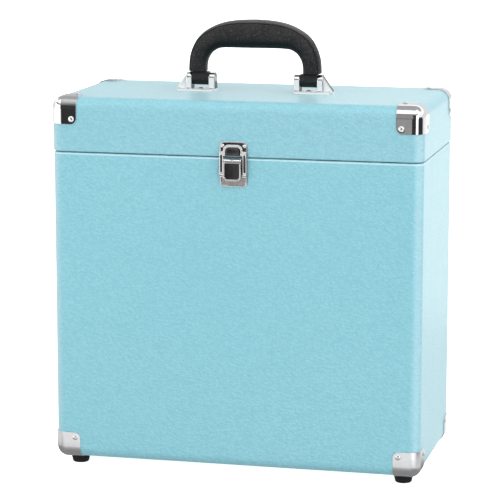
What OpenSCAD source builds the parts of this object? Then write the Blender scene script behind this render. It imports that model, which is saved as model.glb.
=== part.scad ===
// Record carrying case: a covered wooden box with a hinged lid, a draw latch,
// a swinging handle, metal corner caps and rubber feet.
// Millimetres. Origin on the floor under the middle of the case, +Z up, front towards -Y.

/* [Case] */
// Width of the case over its covering
case_w = 350; // [342:1:380]
// Depth of the case, front to back
case_d = 166; // [150:1:200]
// Height of body and lid together, without the feet
case_h = 344; // [335:1:370]
// Height of the lid part
lid_h = 51; // [46:1:70]
// Radius of the rounded outer edges
edge_r = 10; // [9:0.5:12]
// Thickness of the wooden boards, covering included
wall_t = 8.8; // [7.8:0.1:9.5]
// Thickness of the leatherette covering
cover_t = 0.8; // [0.6:0.1:1]
// How far the lid stands proud of the body on each side
lid_proud = 0.5; // [0.3:0.1:1]
// Gap between the lid and the body at the seam
seam_gap = 0.8; // [0.6:0.1:1.2]

/* [Corner caps and feet] */
// Length of a cap along each edge, measured from the outer face
cap_len = 24.5; // [24:0.5:30]
// Sheet thickness of the caps
cap_t = 0.8; // [0.7:0.1:1.2]
// Radius of the caps' free corners
cap_free_r = 6; // [4:0.5:8]
// Height of the feet
foot_h = 9; // [8:0.5:14]
// Diameter of a foot where it meets the case
foot_d = 19.5; // [16:0.5:20]

/* [Handle] */
// Distance from the middle of the handle to the middle of an end tab
tab_x = 52.4; // [50:0.1:56]
// Width of an end tab
tab_w = 15.9; // [14:0.1:16.2]
// Height of the handle's pins over the lid
pin_up = 11.8; // [11.6:0.1:12.4]
// Radius of the handle's pins
hpin_r = 2.5; // [2:0.1:3]
// Half depth of the grip at its middle
grip_b = 10.5; // [9:0.1:11.5]

/* [Hinges] */
// Distance of a hinge's middle from the middle of the case
hinge_x = 105; // [90:1:115]
// Width of a hinge
hinge_w = 40; // [36:1:44]
// Radius of the hinge barrel
barrel_r = 2.4; // [2.2:0.1:2.5]

/* [Latch] */
// Width of the latch plates
latch_w = 26; // [26:0.5:28]
// Thickness of the latch plates
latch_t = 1.2; // [1:0.1:1.3]

/* [Hidden] */
$fn = 64;
e = 0.01;
zb = foot_h;                       // underside of the box
zt = zb + case_h;                  // top of the lid
zs = zt - lid_h;                   // the seam
body_top = zs - seam_gap / 2;
lid_bot = zs + seam_gap / 2;
cx = case_w / 2 - edge_r;          // centre of the rounded edges
cy = case_d / 2 - edge_r;
glue = 0.05;
u_in = edge_r - wall_t;            // inner face of the boards, from the edge centre
liner_t = 0.8;
hx = cx + u_in - liner_t;          // half width inside the lining
hy = cy + u_in - liner_t;
lid_r = edge_r + lid_proud;
zcb = zb + edge_r;                 // centre height of the bottom edges
zcl = zt - lid_r;                  // centre height of the top edges
cap_l = cap_len - edge_r;          // flat length of a cap's flange
nail_in = 4.9;
foot_x = cx - 8;
foot_y = cy - 11.5;
yf = -case_d / 2;                  // front face of the body
yfl = yf - lid_proud;              // front face of the lid
yb = case_d / 2;                   // back face of the body
ybl = yb + lid_proud;
leaf_t = 1.2;
hinge_y = yb + 2.9;                // hinge axis
lug_r = 4.84;
pin_z = zt + pin_up;
la_y = yf - 4.6;  la_z = zs - 3.5;    // lever pivot
lb_y = yf - 3.2;  lb_z = zs - 16.5;   // loop pivot
lever_f = yf - 7.8;                   // front of the lever

// Handle outline: outer and inner points over the lid, from an end to the middle
h_out = [[64, 18.5], [63.7, 25.8], [62.6, 33.8], [60, 41.8], [56, 49.1], [50.5, 55.1], [43.5, 59.8], [35, 63.8], [25, 66.6], [13, 68.1], [0, 68.6]];
h_in  = [[46.6, 18.5], [46.5, 24.6], [45.6, 29.4], [43.8, 33.4], [41.2, 36.8], [38, 39.2], [34.8, 40.7], [31, 41.4], [24, 41.7], [13, 41.7], [0, 41.7]];

// ---------- helpers ----------
module box(x0, x1, y0, y1, z0, z1) { translate([x0, y0, z0]) cube([x1 - x0, y1 - y0, z1 - z0]); }
module ring_box(xo, yo, xi, yi, z0, z1) {
  difference() { box(-xo, xo, -yo, yo, z0, z1); box(-xi, xi, -yi, yi, z0 - 1, z1 + 1); }
}
// rounded rectangle with its edge centres at cx, cy
module rr2d(r) {
  square([2 * cx, 2 * (cy + r)], center = true);
  square([2 * (cx + r), 2 * cy], center = true);
  for (sx = [-1, 1], sy = [-1, 1]) translate([sx * cx, sy * cy]) circle(r);
}
// section of a body wall with a round bottom edge; x is the distance out from the edge centre
module sec_body(r, top) {
  translate([0, zcb]) square([r, top - zcb]);
  intersection() { translate([0, zcb]) circle(r); translate([0, zcb - r]) square([r, r]); }
}
module sec_lid(r, bot) {
  translate([0, bot]) square([r, zcl - bot]);
  intersection() { translate([0, zcl]) circle(r); translate([0, zcl]) square([r, r]); }
}
// a section run along one side; s picks the side
module wall_y(s) { mirror([0, s < 0 ? 1 : 0, 0]) translate([-cx, cy, 0]) rotate([90, 0, 90]) linear_extrude(2 * cx) children(); }
module wall_x(s) { mirror([s < 0 ? 1 : 0, 0, 0]) translate([cx, cy, 0]) rotate([90, 0, 0]) linear_extrude(2 * cy) children(); }
module turn(sx, sy) {
  mirror([sx < 0 ? 1 : 0, 0, 0]) mirror([0, sy < 0 ? 1 : 0, 0]) translate([cx, cy, 0]) rotate_extrude(angle = 90) children();
}

// ---------- wooden boards ----------
module end_board(s) { // front or back board with the rounded corners of the body
  difference() {
    union() {
      wall_y(s) intersection() { sec_body(edge_r - cover_t - glue, body_top - cover_t - glue); translate([u_in, 0]) square([20, 400]); }
      for (sx = [-1, 1]) turn(sx, s) sec_body(edge_r - cover_t - glue, body_top - cover_t - glue);
    }
    box(-cx - u_in, cx + u_in, -cy - u_in, cy + u_in, -1, 400);
  }
}
module side_board(s) {
  wall_x(s) intersection() { sec_body(edge_r - cover_t - glue, body_top - cover_t - glue); translate([u_in, 0]) square([20, 400]); }
}
module front_board() color("burlywood") end_board(-1);
module back_board() color("burlywood") end_board(1);
module left_board() color("tan") side_board(-1);
module right_board() color("tan") side_board(1);
module bottom_board() color("tan") box(-cx - u_in, cx + u_in, -cy - u_in, cy + u_in, zb + cover_t + 0.25, zb + wall_t);

module lid_end(s) {
  difference() {
    union() {
      wall_y(s) intersection() { sec_lid(lid_r - cover_t - glue, lid_bot + cover_t + glue); translate([u_in, 0]) square([20, 400]); }
      for (sx = [-1, 1]) turn(sx, s) sec_lid(lid_r - cover_t - glue, lid_bot + cover_t + glue);
    }
    box(-cx - u_in, cx + u_in, -cy - u_in, cy + u_in, 200, 400);
  }
}
module lid_side(s) {
  wall_x(s) intersection() { sec_lid(lid_r - cover_t - glue, lid_bot + cover_t + glue); translate([u_in, 0]) square([20, 400]); }
}
module lid_front_rail() color("burlywood") lid_end(-1);
module lid_back_rail() color("burlywood") lid_end(1);
module lid_left_rail() color("tan") lid_side(-1);
module lid_right_rail() color("tan") lid_side(1);
module lid_top_board() color("burlywood") box(-cx - u_in, cx + u_in, -cy - u_in, cy + u_in, zt - wall_t, zt - cover_t - 0.25);

// ---------- covering and lining ----------
module body_cover() color([0.59, 0.82, 0.86]) {
  for (s = [-1, 1]) {
    wall_y(s) difference() { sec_body(edge_r, body_top - cover_t); sec_body(edge_r - cover_t, body_top + 1); }
    wall_x(s) difference() { sec_body(edge_r, body_top - cover_t); sec_body(edge_r - cover_t, body_top + 1); }
    for (t = [-1, 1]) turn(s, t) difference() { sec_body(edge_r, body_top - cover_t); sec_body(edge_r - cover_t, body_top + 1); }
  }
  box(-cx, cx, -cy, cy, zb, zb + cover_t);
  // turned over the rim and down the inside
  translate([0, 0, body_top - cover_t]) linear_extrude(cover_t) difference() { rr2d(edge_r); square([2 * hx, 2 * hy], center = true); }
  ring_box(hx + liner_t, hy + liner_t, hx, hy, body_top - 12, body_top - cover_t);
}
module body_lining() color([0.12, 0.12, 0.13]) {
  ring_box(hx + liner_t, hy + liner_t, hx, hy, zb + wall_t + liner_t, body_top - 12 - glue);
  box(-hx - liner_t, hx + liner_t, -hy - liner_t, hy + liner_t, zb + wall_t, zb + wall_t + liner_t);
}
module lid_cover() color([0.62, 0.84, 0.87]) {
  for (s = [-1, 1]) {
    wall_y(s) difference() { sec_lid(lid_r, lid_bot + cover_t); sec_lid(lid_r - cover_t, lid_bot - 1); }
    wall_x(s) difference() { sec_lid(lid_r, lid_bot + cover_t); sec_lid(lid_r - cover_t, lid_bot - 1); }
    for (t = [-1, 1]) turn(s, t) difference() { sec_lid(lid_r, lid_bot + cover_t); sec_lid(lid_r - cover_t, lid_bot - 1); }
  }
  box(-cx, cx, -cy, cy, zt - cover_t, zt);
  translate([0, 0, lid_bot]) linear_extrude(cover_t) difference() { rr2d(lid_r); square([2 * hx, 2 * hy], center = true); }
  ring_box(hx + liner_t, hy + liner_t, hx, hy, lid_bot + cover_t, lid_bot + 12);
}
module lid_lining() color([0.12, 0.12, 0.13]) {
  ring_box(hx + liner_t, hy + liner_t, hx, hy, lid_bot + 12 + glue, zt - wall_t - liner_t);
  box(-hx - liner_t, hx + liner_t, -hy - liner_t, hy + liner_t, zt - wall_t - liner_t, zt - wall_t);
}
// inner frame that keeps the lid in place when it is shut
module locating_lip() color([0.14, 0.14, 0.15]) {
  ring_box(hx, hy, hx - 3, hy - 3, body_top - 26, body_top);
  ring_box(hx - 0.6, hy - 0.6, hx - 3, hy - 3, body_top, body_top + 6.5);
}

// ---------- corner caps ----------
module ring_q(ri, ro) { intersection() { difference() { circle(ro); circle(ri); } square(ro + 1); } }
module flange2d(grow = 0) {
  l = cap_l + grow; r = cap_free_r + grow;
  translate([r - l, -l]) square([l - r, l]);
  translate([-l, r - l]) square([l, l - r]);
  translate([r - l, r - l]) circle(r);
}
module flange(hole) {
  linear_extrude(cap_t) difference() { flange2d(); translate(hole) circle(hole == [nail_in - cap_l, nail_in - cap_l] ? 1.05 : 2.2); }
}
// cap for the corner at +X +Y +Z, with the centre of its ball at the origin
module cap(r, foot = false) {
  ri = r + glue; ro = ri + cap_t; l = cap_l; n = [nail_in - l, nail_in - l];
  rotate_extrude(angle = 90) ring_q(ri, ro);
  translate([0, 0, -l]) linear_extrude(l) ring_q(ri, ro);
  translate([-l, 0, 0]) rotate([90, 0, 90]) linear_extrude(l) ring_q(ri, ro);
  rotate([90, 0, 0]) linear_extrude(l) ring_q(ri, ro);
  translate([0, 0, ri]) flange(foot ? [foot_x - cx, foot_y - cy] : n);
  translate([ri, 0, 0]) rotate([90, 0, 90]) flange(n);
  translate([0, ro, 0]) rotate([90, 0, 0]) flange(n);
}
module at_body(sx, sy) { mirror([sx < 0 ? 1 : 0, 0, 0]) mirror([0, sy < 0 ? 1 : 0, 0]) translate([cx, cy, zcb]) mirror([0, 0, 1]) children(); }
module at_lid(sx, sy) { mirror([sx < 0 ? 1 : 0, 0, 0]) mirror([0, sy < 0 ? 1 : 0, 0]) translate([cx, cy, zcl]) children(); }
module body_cap(sx, sy) color("silver") at_body(sx, sy) cap(edge_r, true);
module lid_cap(sx, sy) color("silver") at_lid(sx, sy) cap(lid_r);
module body_cap_front_left() body_cap(-1, -1);
module body_cap_front_right() body_cap(1, -1);
module body_cap_back_left() body_cap(-1, 1);
module body_cap_back_right() body_cap(1, 1);
module lid_cap_front_left() lid_cap(-1, -1);
module lid_cap_front_right() lid_cap(1, -1);
module lid_cap_back_left() lid_cap(-1, 1);
module lid_cap_back_right() lid_cap(1, 1);

// domed nail or rivet: head on z = 0, shank below
module nail(r = 2.6, h = 1.2, shank = 1, len = 7) {
  s = (r * r + h * h) / (2 * h);
  rotate_extrude() intersection() { translate([0, h - s]) circle(s); square([r, h]); }
  translate([0, 0, -len]) cylinder(r = shank, h = len + e);
}
module cap_nails(r, top) {
  o = r + glue + cap_t; n = nail_in - cap_l;
  translate([o, n, n]) rotate([0, 90, 0]) nail();
  translate([n, o, n]) rotate([-90, 0, 0]) nail();
  if (top) translate([n, n, o]) nail();
}
module body_cap_nails() color("gainsboro") for (sx = [-1, 1], sy = [-1, 1]) at_body(sx, sy) cap_nails(edge_r, false);
module lid_cap_nails() color("gainsboro") for (sx = [-1, 1], sy = [-1, 1]) at_lid(sx, sy) cap_nails(lid_r, true);

// ---------- feet ----------
module foot(sx, sy) color([0.08, 0.08, 0.08]) difference() {
  translate([sx * foot_x, sy * foot_y, 0]) difference() {
    rotate_extrude() union() {
      polygon([[0, 0], [foot_d / 2 - 3.4, 0], [foot_d / 2 - 1.95, 1.4], [foot_d / 2, foot_h - 0.8], [foot_d / 2, foot_h - glue], [0, foot_h - glue]]);
      translate([foot_d / 2 - 3.4, 1.45]) circle(1.45);
    }
    translate([0, 0, -1]) cylinder(r = 2.1, h = foot_h + 2);
    translate([0, 0, -1]) cylinder(r = 4.2, h = 4.5);
  }
  at_body(sx, sy) translate([0, 0, edge_r]) linear_extrude(cap_t + 2 * glue) union() {
    flange2d(glue);
    translate([-1, -cap_l - glue]) square([3.5, cap_l + glue]);
  }
}
module foot_front_left() foot(-1, -1);
module foot_front_right() foot(1, -1);
module foot_back_left() foot(-1, 1);
module foot_back_right() foot(1, 1);
module foot_screws() color("silver") for (sx = [-1, 1], sy = [-1, 1]) translate([sx * foot_x, sy * foot_y, 0]) difference() {
  union() {
    translate([0, 0, 1.4]) cylinder(r = 3.9, h = 2.1);
    translate([0, 0, 3.4]) cylinder(r = 2, h = foot_h + 4.6);
  }
  translate([-2.6, -0.45, 1]) cube([5.2, 0.9, 1.3]);
  translate([-0.45, -2.6, 1]) cube([0.9, 5.2, 1.3]);
}

// ---------- hinges ----------
module barrel(x0, x1, r) translate([x0, hinge_y, zs]) rotate([0, 90, 0]) cylinder(r = r, h = x1 - x0);
module body_leaf(x) color("silver") {
  w = hinge_w / 2;
  difference() {
    union() {
      box(x - w, x + w, yb + glue, yb + leaf_t, zs - 24, zs - barrel_r - 0.6);
      for (s = [-1, 1]) {
        a = s < 0 ? x - w : x + 8.3; b = s < 0 ? x - 8.3 : x + w;
        barrel(a, b, barrel_r);
        box(a, b, yb + glue, yb + leaf_t, zs - 5, zs - 0.4);
      }
    }
    barrel(x - w - 1, x + w + 1, 1.21);
    for (dx = [-13, 0, 13]) translate([x + dx, yb, zs - 15]) rotate([-90, 0, 0]) cylinder(r = 1.4, h = 5, center = true);
  }
}
module lid_leaf(x) color("silver") {
  w = hinge_w / 2;
  difference() {
    union() {
      box(x - w, x + w, ybl + glue, ybl + leaf_t, zs + barrel_r + 0.6, zs + 21);
      barrel(x - 8, x + 8, barrel_r);
      box(x - 8, x + 8, ybl + glue, ybl + leaf_t, zs + 0.6, zs + 6);
      // stop lug that meets the body leaf when the lid is fully open
      translate([x - 5, hinge_y, zs]) rotate([6, 0, 0]) translate([0, 1.8, -0.8]) cube([10, lug_r - 1.8, 1.6]);
    }
    barrel(x - 9, x + 9, 1.26);
    for (dx = [-13, 0, 13]) translate([x + dx, ybl, zs + 13]) rotate([-90, 0, 0]) cylinder(r = 1.4, h = 5, center = true);
  }
}
module hinge_body_leaf_left() body_leaf(-hinge_x);
module hinge_body_leaf_right() body_leaf(hinge_x);
module hinge_lid_leaf_left() lid_leaf(-hinge_x);
module hinge_lid_leaf_right() lid_leaf(hinge_x);
module hinge_pin(x) color("gray") barrel(x - hinge_w / 2 - 0.4, x + hinge_w / 2 + 0.4, 1.2);
module hinge_pin_left() hinge_pin(-hinge_x);
module hinge_pin_right() hinge_pin(hinge_x);
module hinge_body_rivets() color("gainsboro") for (x = [-hinge_x, hinge_x], dx = [-13, 0, 13])
  translate([x + dx, yb + leaf_t, zs - 15]) rotate([-90, 0, 0]) nail(2.3, 0.9, 1.3, 8);
module hinge_lid_rivets() color("gainsboro") for (x = [-hinge_x, hinge_x], dx = [-13, 0, 13])
  translate([x + dx, ybl + leaf_t, zs + 13]) rotate([-90, 0, 0]) nail(2.3, 0.9, 1.3, 8);

// ---------- latch ----------
// shapes drawn in X and Z, run from y0 forward by t
module xz(y0, t) translate([0, y0, 0]) rotate([90, 0, 0]) linear_extrude(t) children();
module xcyl(x0, x1, y, z, r) translate([x0, y, z]) rotate([0, 90, 0]) cylinder(r = r, h = x1 - x0, $fn = 48);
module latch_base() color("silver") {
  w = latch_w / 2; zl = zs - 27.3; zh = zs - 0.8;
  difference() {
    xz(yf - glue, latch_t - glue) union() {
      translate([-w, zl + 4.5]) square([2 * w, zh - zl - 4.5]);
      translate([-w + 4.5, zl]) square([2 * w - 9, 5]);
      for (s = [-1, 1]) translate([s * (w - 4.5), zl + 4.5]) circle(4.5);
    }
    for (z = [zs - 10.5, zs - 20]) translate([0, yf, z]) rotate([90, 0, 0]) cylinder(r = 1.05, h = 5, center = true);
  }
  // lug that carries the lever's pin
  difference() {
    union() {
      xcyl(-1.6, 1.6, la_y, la_z, 1.9);
      box(-1.6, 1.6, la_y, yf - latch_t + e, la_z - 1.9, la_z + 1.9);
    }
    xcyl(-3, 3, la_y, la_z, 0.81);
  }
}
module latch_base_rivets() color("gainsboro") for (z = [zs - 10.5, zs - 20])
  translate([0, yf - latch_t, z]) rotate([90, 0, 0]) nail(1.8, 0.7, 1, 8);
module latch_lever_pin() color("gray") xcyl(-8.3, 8.3, la_y, la_z, 0.8);
module latch_catch() color("silver") {
  w = latch_w / 2; zl = zs + 1; zh = zs + 15;
  difference() {
    xz(yfl - glue, latch_t - glue) union() {
      translate([-w, zl]) square([2 * w, zh - zl - 4.5]);
      translate([-w + 4.5, zh - 5]) square([2 * w - 9, 5]);
      for (s = [-1, 1]) translate([s * (w - 4.5), zh - 4.5]) circle(4.5);
    }
    for (s = [-1, 1]) translate([s * 10.2, yfl, zs + 10.6]) rotate([90, 0, 0]) cylinder(r = 0.95, h = 5, center = true);
  }
  // nose that the loop hooks over
  difference() {
    xz(yfl - latch_t + e, 5.4 - lid_proud - latch_t + e) union() {
      translate([-5.9, zs + 2.6]) square([11.8, 2.9]);
      translate([-2.7, zs + 2.6]) square([5.4, 6.1]);
      for (s = [-1, 1]) translate([s * 2.7, zs + 5.5]) circle(3.2);
    }
    translate([-7, yf - 5.4, zs + 2.6]) rotate([45, 0, 0]) translate([0, -2, -2]) cube([14, 4, 4]);
  }
}
module latch_catch_rivets() color("gainsboro") for (s = [-1, 1])
  translate([s * 10.2, yfl - latch_t, zs + 10.6]) rotate([90, 0, 0]) nail(1.8, 0.9, 0.9, 8);
module lever2d(g = 0) { // outline seen from the front
  x = 8.4 - g; z0 = zs - 21 + g; r = 4 - g;
  translate([-x, z0 + r]) square([2 * x, la_z - z0 - r]);
  translate([-x + r, z0]) square([2 * x - 2 * r, r + e]);
  for (s = [-1, 1]) translate([s * (x - r), z0 + r]) circle(r);
}
module latch_lever() color("silver") difference() {
  union() {
    xz(lever_f + 1.7, 0.8) lever2d();                                    // plate
    xz(lever_f + 2.4, 2.4) difference() { lever2d(); lever2d(1.4); translate([-7, la_z - 2]) square([14, 4]); } // rim
    for (s = [-1, 1]) translate([s < 0 ? -8.4 : 7, 0, 0]) {
      xcyl(0, 1.4, la_y, la_z, 3.2);
      xcyl(0, 1.4, lb_y, lb_z, 1.7);
      box(0, 1.4, lever_f, yf - 2, lb_z, la_z);
      box(0, 1.4, lever_f + 0.01, lb_y, lb_z - 1.7, lb_z);
    }
    for (s = [-1, 1]) xcyl(s < 0 ? -7 : 1.75, s < 0 ? -1.75 : 7, la_y, la_z, 1.8);
  }
  box(-1.75, 1.75, lever_f - 1, yf - 2, la_z - 2.2, la_z + 3);           // room for the lug
  xcyl(-9, 9, la_y, la_z, 0.85);
  xcyl(-9, 9, lb_y, lb_z, 0.91);
}
module latch_loop_pin() color("gray") xcyl(-12.9, 12.9, lb_y, lb_z, 0.9);
module latch_loop() color("silver") difference() {
  union() {
    xz(yf - 2.9, 1.4) difference() {
      union() {
        translate([-12.9, lb_z]) square([25.8, 21.1]);
        translate([-11.4, lb_z]) square([22.8, 22.6]);
        for (s = [-1, 1]) translate([s * 11.4, lb_z + 21.1]) circle(1.5);
        translate([-9.2, zs - 1]) square([18.4, 8]);
        translate([-4, zs - 1]) square([8, 13.2]);
        for (s = [-1, 1]) translate([s * 4, zs + 7]) circle(5.2);
      }
      translate([-9, lb_z - 1]) square([18, zs + 1.9 - lb_z + 1]);
      translate([-7, zs]) square([14, 6.1]);
      translate([-3.5, zs]) square([7, 9.6]);
      for (s = [-1, 1]) translate([s * 3.5, zs + 6.1]) circle(3.5);
    }
    for (s = [-1, 1]) xcyl(s < 0 ? -12.7 : 9.1, s < 0 ? -9.1 : 12.7, lb_y, lb_z, 1.7);
  }
  xcyl(-14, 14, lb_y, lb_z, 0.96);
  for (s = [-1, 1]) box(s * 11 - 0.7, s * 11 + 0.7, yf - 4.5, yf - 3.8, lb_z + 3, lb_z + 19);
}

// ---------- handle ----------
module bracket(s) color("silver") mirror([s < 0 ? 1 : 0, 0, 0]) translate([0, 0, zt]) {
  x0 = tab_x - tab_w / 2 - 0.3; x1 = tab_x + tab_w / 2 + 0.3;
  difference() {
    union() {
      box(x0 - 6, 76, -8.2, 8.2, glue, 2.5);
      for (a = [[x0 - 6, x0], [x1, x1 + 5.6]]) {
        translate([a[0], 0, 0]) rotate([90, 0, 90]) linear_extrude(a[1] - a[0]) union() {
          polygon([[-7.4, 2], [7.4, 2], [6.3, 2.9], [6.1, pin_up + 2.2], [-6.1, pin_up + 2.2], [-6.3, 2.9]]);
          translate([0, pin_up]) circle(6.2);
        }
      }
      // sloping leg outside the outer cheek
      translate([0, 3.4, 0]) rotate([90, 0, 0]) linear_extrude(6.8)
        polygon([[x1 + 5, 2], [75.4, 2], [75.4, 3.2], [x1 + 5.5, pin_up + 4.5], [x1 + 5, pin_up + 4.5]]);
    }
    xcyl(x0 - 7, x1 + 12, 0, pin_up, hpin_r + 0.02);
    translate([tab_x, 0, 0]) cylinder(r = 1.55, h = 6);
    for (t = [-1, 1]) translate([73, t * 5.9, 0]) cylinder(r = 1.05, h = 6);
  }
}
module handle_bracket_left() bracket(-1);
module handle_bracket_right() bracket(1);
module handle_bracket_rivets() color("gainsboro") for (s = [-1, 1]) {
  translate([s * tab_x, 0, zt + 2.5]) nail(3.2, 1.2, 1.5, 9.5);
  for (t = [-1, 1]) translate([s * 73, t * 5.9, zt + 2.5]) nail(1.9, 0.9, 1, 9.5);
}
module hpin(s) color("gray") {
  x0 = tab_x - tab_w / 2 - 6.3; x1 = tab_x + tab_w / 2 + 5.9;
  xcyl(s < 0 ? -x1 : x0, s < 0 ? -x0 : x1, 0, pin_z, hpin_r);
}
module handle_pin_left() hpin(-1);
module handle_pin_right() hpin(1);
// end tab that turns on the pin
module tab(s) color([0.1, 0.1, 0.1]) {
  xa = tab_x - tab_w / 2; xb = tab_x + tab_w / 2;
  difference() {
    union() {
      xcyl(s < 0 ? -xb : xa, s < 0 ? -xa : xb, 0, pin_z, 6);
      box(s < 0 ? -xb : xa, s < 0 ? -xa : xb, -6, 6, pin_z, zt + 18.45);
    }
    xcyl(s < 0 ? -xb - 1 : xa - 1, s < 0 ? -xa + 1 : xb + 1, 0, pin_z, hpin_r + 0.06);
  }
}
module handle_tab_left() tab(-1);
module handle_tab_right() tab(1);
// steel strap inside the grip
core_x = 55.3; core_z = 54; core_r = 16;
module core_shape(g) translate([0, 0, zt]) {
  t = 1.5 + g; d = 5 + g;
  for (s = [-1, 1]) {
    box(s * core_x - t, s * core_x + t, -d, d, 18.5 - (g > 0 ? 1 : 0), core_z - core_r);
    translate([s * (core_x - core_r), d, core_z - core_r]) rotate([90, 0, 0]) linear_extrude(2 * d) intersection() {
      difference() { circle(core_r + t); circle(core_r - t); }
      translate([s < 0 ? -30 : 0, 0]) square(30);
    }
  }
  box(-(core_x - core_r), core_x - core_r, -d, d, core_z - t, core_z + t);
}
module handle_core() color("dimgray") core_shape(0);
// the padded grip: a row of oval rings from one end to the other
GN = 24;
h_k = [for (i = [0 : 10]) i, for (i = [9 : -1 : 0]) i];
function g_ring(j) = let (i = h_k[j], s = j <= 10 ? 1 : -1, o = h_out[i], n = h_in[i],
    c = [s * (o[0] + n[0]) / 2, (o[1] + n[1]) / 2], d = [s * (o[0] - n[0]) / 2, (o[1] - n[1]) / 2],
    b = 8.6 + (grip_b - 8.6) * min(1, i / 7))
  [for (k = [0 : GN - 1]) let (a = 360 * k / GN, ca = cos(a), sa = sin(a),
     p = pow(abs(ca), 0.78) * sign(ca), q = pow(abs(sa), 0.78) * sign(sa))
     [c[0] + d[0] * p, b * q, zt + c[1] + d[1] * p]];
module grip_solid() {
  m = len(h_k);
  pts = [for (j = [0 : m - 1]) each g_ring(j)];
  sides = [for (j = [0 : m - 2], k = [0 : GN - 1]) let (k2 = (k + 1) % GN)
    each [[j * GN + k, j * GN + k2, (j + 1) * GN + k2], [j * GN + k, (j + 1) * GN + k2, (j + 1) * GN + k]]];
  polyhedron(points = pts, faces = concat([[for (k = [GN - 1 : -1 : 0]) k]], sides, [[for (k = [0 : GN - 1]) (m - 1) * GN + k]]));
}
module handle_grip() color([0.1, 0.1, 0.1]) difference() { grip_solid(); core_shape(0.05); }

front_board();
back_board();
left_board();
right_board();
bottom_board();
body_cover();
body_lining();
locating_lip();
body_cap_front_left();
body_cap_front_right();
body_cap_back_left();
body_cap_back_right();
body_cap_nails();
foot_front_left();
foot_front_right();
foot_back_left();
foot_back_right();
foot_screws();
hinge_body_leaf_left();
hinge_body_leaf_right();
hinge_pin_left();
hinge_pin_right();
hinge_body_rivets();
latch_base();
latch_lever_pin();
latch_base_rivets();
lid_top_board();
lid_front_rail();
lid_back_rail();
lid_left_rail();
lid_right_rail();
lid_cover();
lid_lining();
lid_cap_front_left();
lid_cap_front_right();
lid_cap_back_left();
lid_cap_back_right();
lid_cap_nails();
hinge_lid_leaf_left();
hinge_lid_leaf_right();
hinge_lid_rivets();
latch_catch();
latch_catch_rivets();
handle_bracket_left();
handle_bracket_right();
handle_bracket_rivets();
handle_pin_left();
handle_pin_right();
handle_grip();
handle_core();
handle_tab_left();
handle_tab_right();
latch_lever();
latch_loop_pin();
latch_loop();
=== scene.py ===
import bpy, bmesh, math
from mathutils import Vector, Matrix, Euler, noise
from mathutils.geometry import tessellate_polygon


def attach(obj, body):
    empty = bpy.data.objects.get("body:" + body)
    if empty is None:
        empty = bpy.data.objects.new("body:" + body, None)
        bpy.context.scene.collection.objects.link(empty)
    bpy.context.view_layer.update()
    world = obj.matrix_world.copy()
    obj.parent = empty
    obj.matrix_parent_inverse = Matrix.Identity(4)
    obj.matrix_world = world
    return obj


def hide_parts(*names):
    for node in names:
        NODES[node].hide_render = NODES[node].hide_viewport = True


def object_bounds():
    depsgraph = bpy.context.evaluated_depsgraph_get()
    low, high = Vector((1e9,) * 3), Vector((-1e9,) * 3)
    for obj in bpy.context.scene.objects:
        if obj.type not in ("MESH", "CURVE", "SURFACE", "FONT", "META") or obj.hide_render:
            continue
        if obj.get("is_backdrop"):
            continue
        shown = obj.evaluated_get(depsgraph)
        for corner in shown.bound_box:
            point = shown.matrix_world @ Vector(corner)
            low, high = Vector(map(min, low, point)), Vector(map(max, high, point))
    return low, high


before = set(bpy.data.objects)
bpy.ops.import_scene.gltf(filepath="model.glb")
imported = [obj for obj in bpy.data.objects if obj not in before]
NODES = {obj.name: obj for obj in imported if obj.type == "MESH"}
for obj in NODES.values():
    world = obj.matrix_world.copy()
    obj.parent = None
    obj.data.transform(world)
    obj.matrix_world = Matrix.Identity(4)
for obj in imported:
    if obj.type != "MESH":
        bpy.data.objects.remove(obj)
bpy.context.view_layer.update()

sc = bpy.context.scene
MM = 0.001
pi = math.pi

# ------------------------------------------------------------------ camera
cam_d = bpy.data.cameras.new("cam")
cam = bpy.data.objects.new("cam", cam_d)
sc.collection.objects.link(cam)
cam.location = (0.53478, -2.21431, 0.61030)
cam.rotation_euler = Euler((pi / 2 - 0.1776, 0, 0.2391), 'XYZ')
cam_d.sensor_width = 36
cam_d.lens = 2421.8148 / 500 * 36
cam_d.clip_start = 0.05
cam_d.clip_end = 50
sc.camera = cam
sc.view_settings.view_transform = 'Standard'

# ------------------------------------------------------------------ dimensions (mm, the frame's own)
CX, CY, ER = 165.0, 73.0, 10.0
ZB, ZT, ZS = 9.0, 353.0, 302.0
BTOP, LBOT = ZS - 0.4, ZS + 0.4
YF, YFL, YB, YBL = -83.0, -83.5, 83.0, 83.5
LR = ER + 0.5
ZCB, ZCL = ZB + ER, ZT - LR
CAPT, CAPL, CAPR, NAIL_IN = 0.8, 14.5, 6.0, 4.9
FOOT_X, FOOT_Y, FOOT_R = CX - 8, CY - 11.5, 9.75
PIN_Z = ZT + 11.8
HINGE_X, HINGE_Y = 105.0, YB + 2.9
LA = (YF - 4.6, ZS - 3.5)
LB = (YF - 3.2, ZS - 16.5)
LEVER_F = YF - 7.8
TAB_X, TAB_W = 52.4, 15.9


# ------------------------------------------------------------------ mesh helpers
def new_obj(name, verts, faces):
    me = bpy.data.meshes.new(name)
    me.from_pydata([(v[0] * MM, v[1] * MM, v[2] * MM) for v in verts], [], faces)
    me.validate()
    ob = bpy.data.objects.new(name, me)
    sc.collection.objects.link(ob)
    return ob


def tidy(ob, dist=2e-6, normals=True):
    bm = bmesh.new()
    bm.from_mesh(ob.data)
    bmesh.ops.remove_doubles(bm, verts=bm.verts, dist=dist)
    bmesh.ops.dissolve_degenerate(bm, edges=bm.edges, dist=1e-7)
    if normals:
        bmesh.ops.recalc_face_normals(bm, faces=bm.faces)
    bm.to_mesh(ob.data)
    bm.free()
    return ob


def shade(ob, angle=35.0):
    me = ob.data
    me.polygons.foreach_set("use_smooth", [True] * len(me.polygons))
    me.set_sharp_from_angle(angle=math.radians(angle))
    me.update()
    return ob


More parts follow.
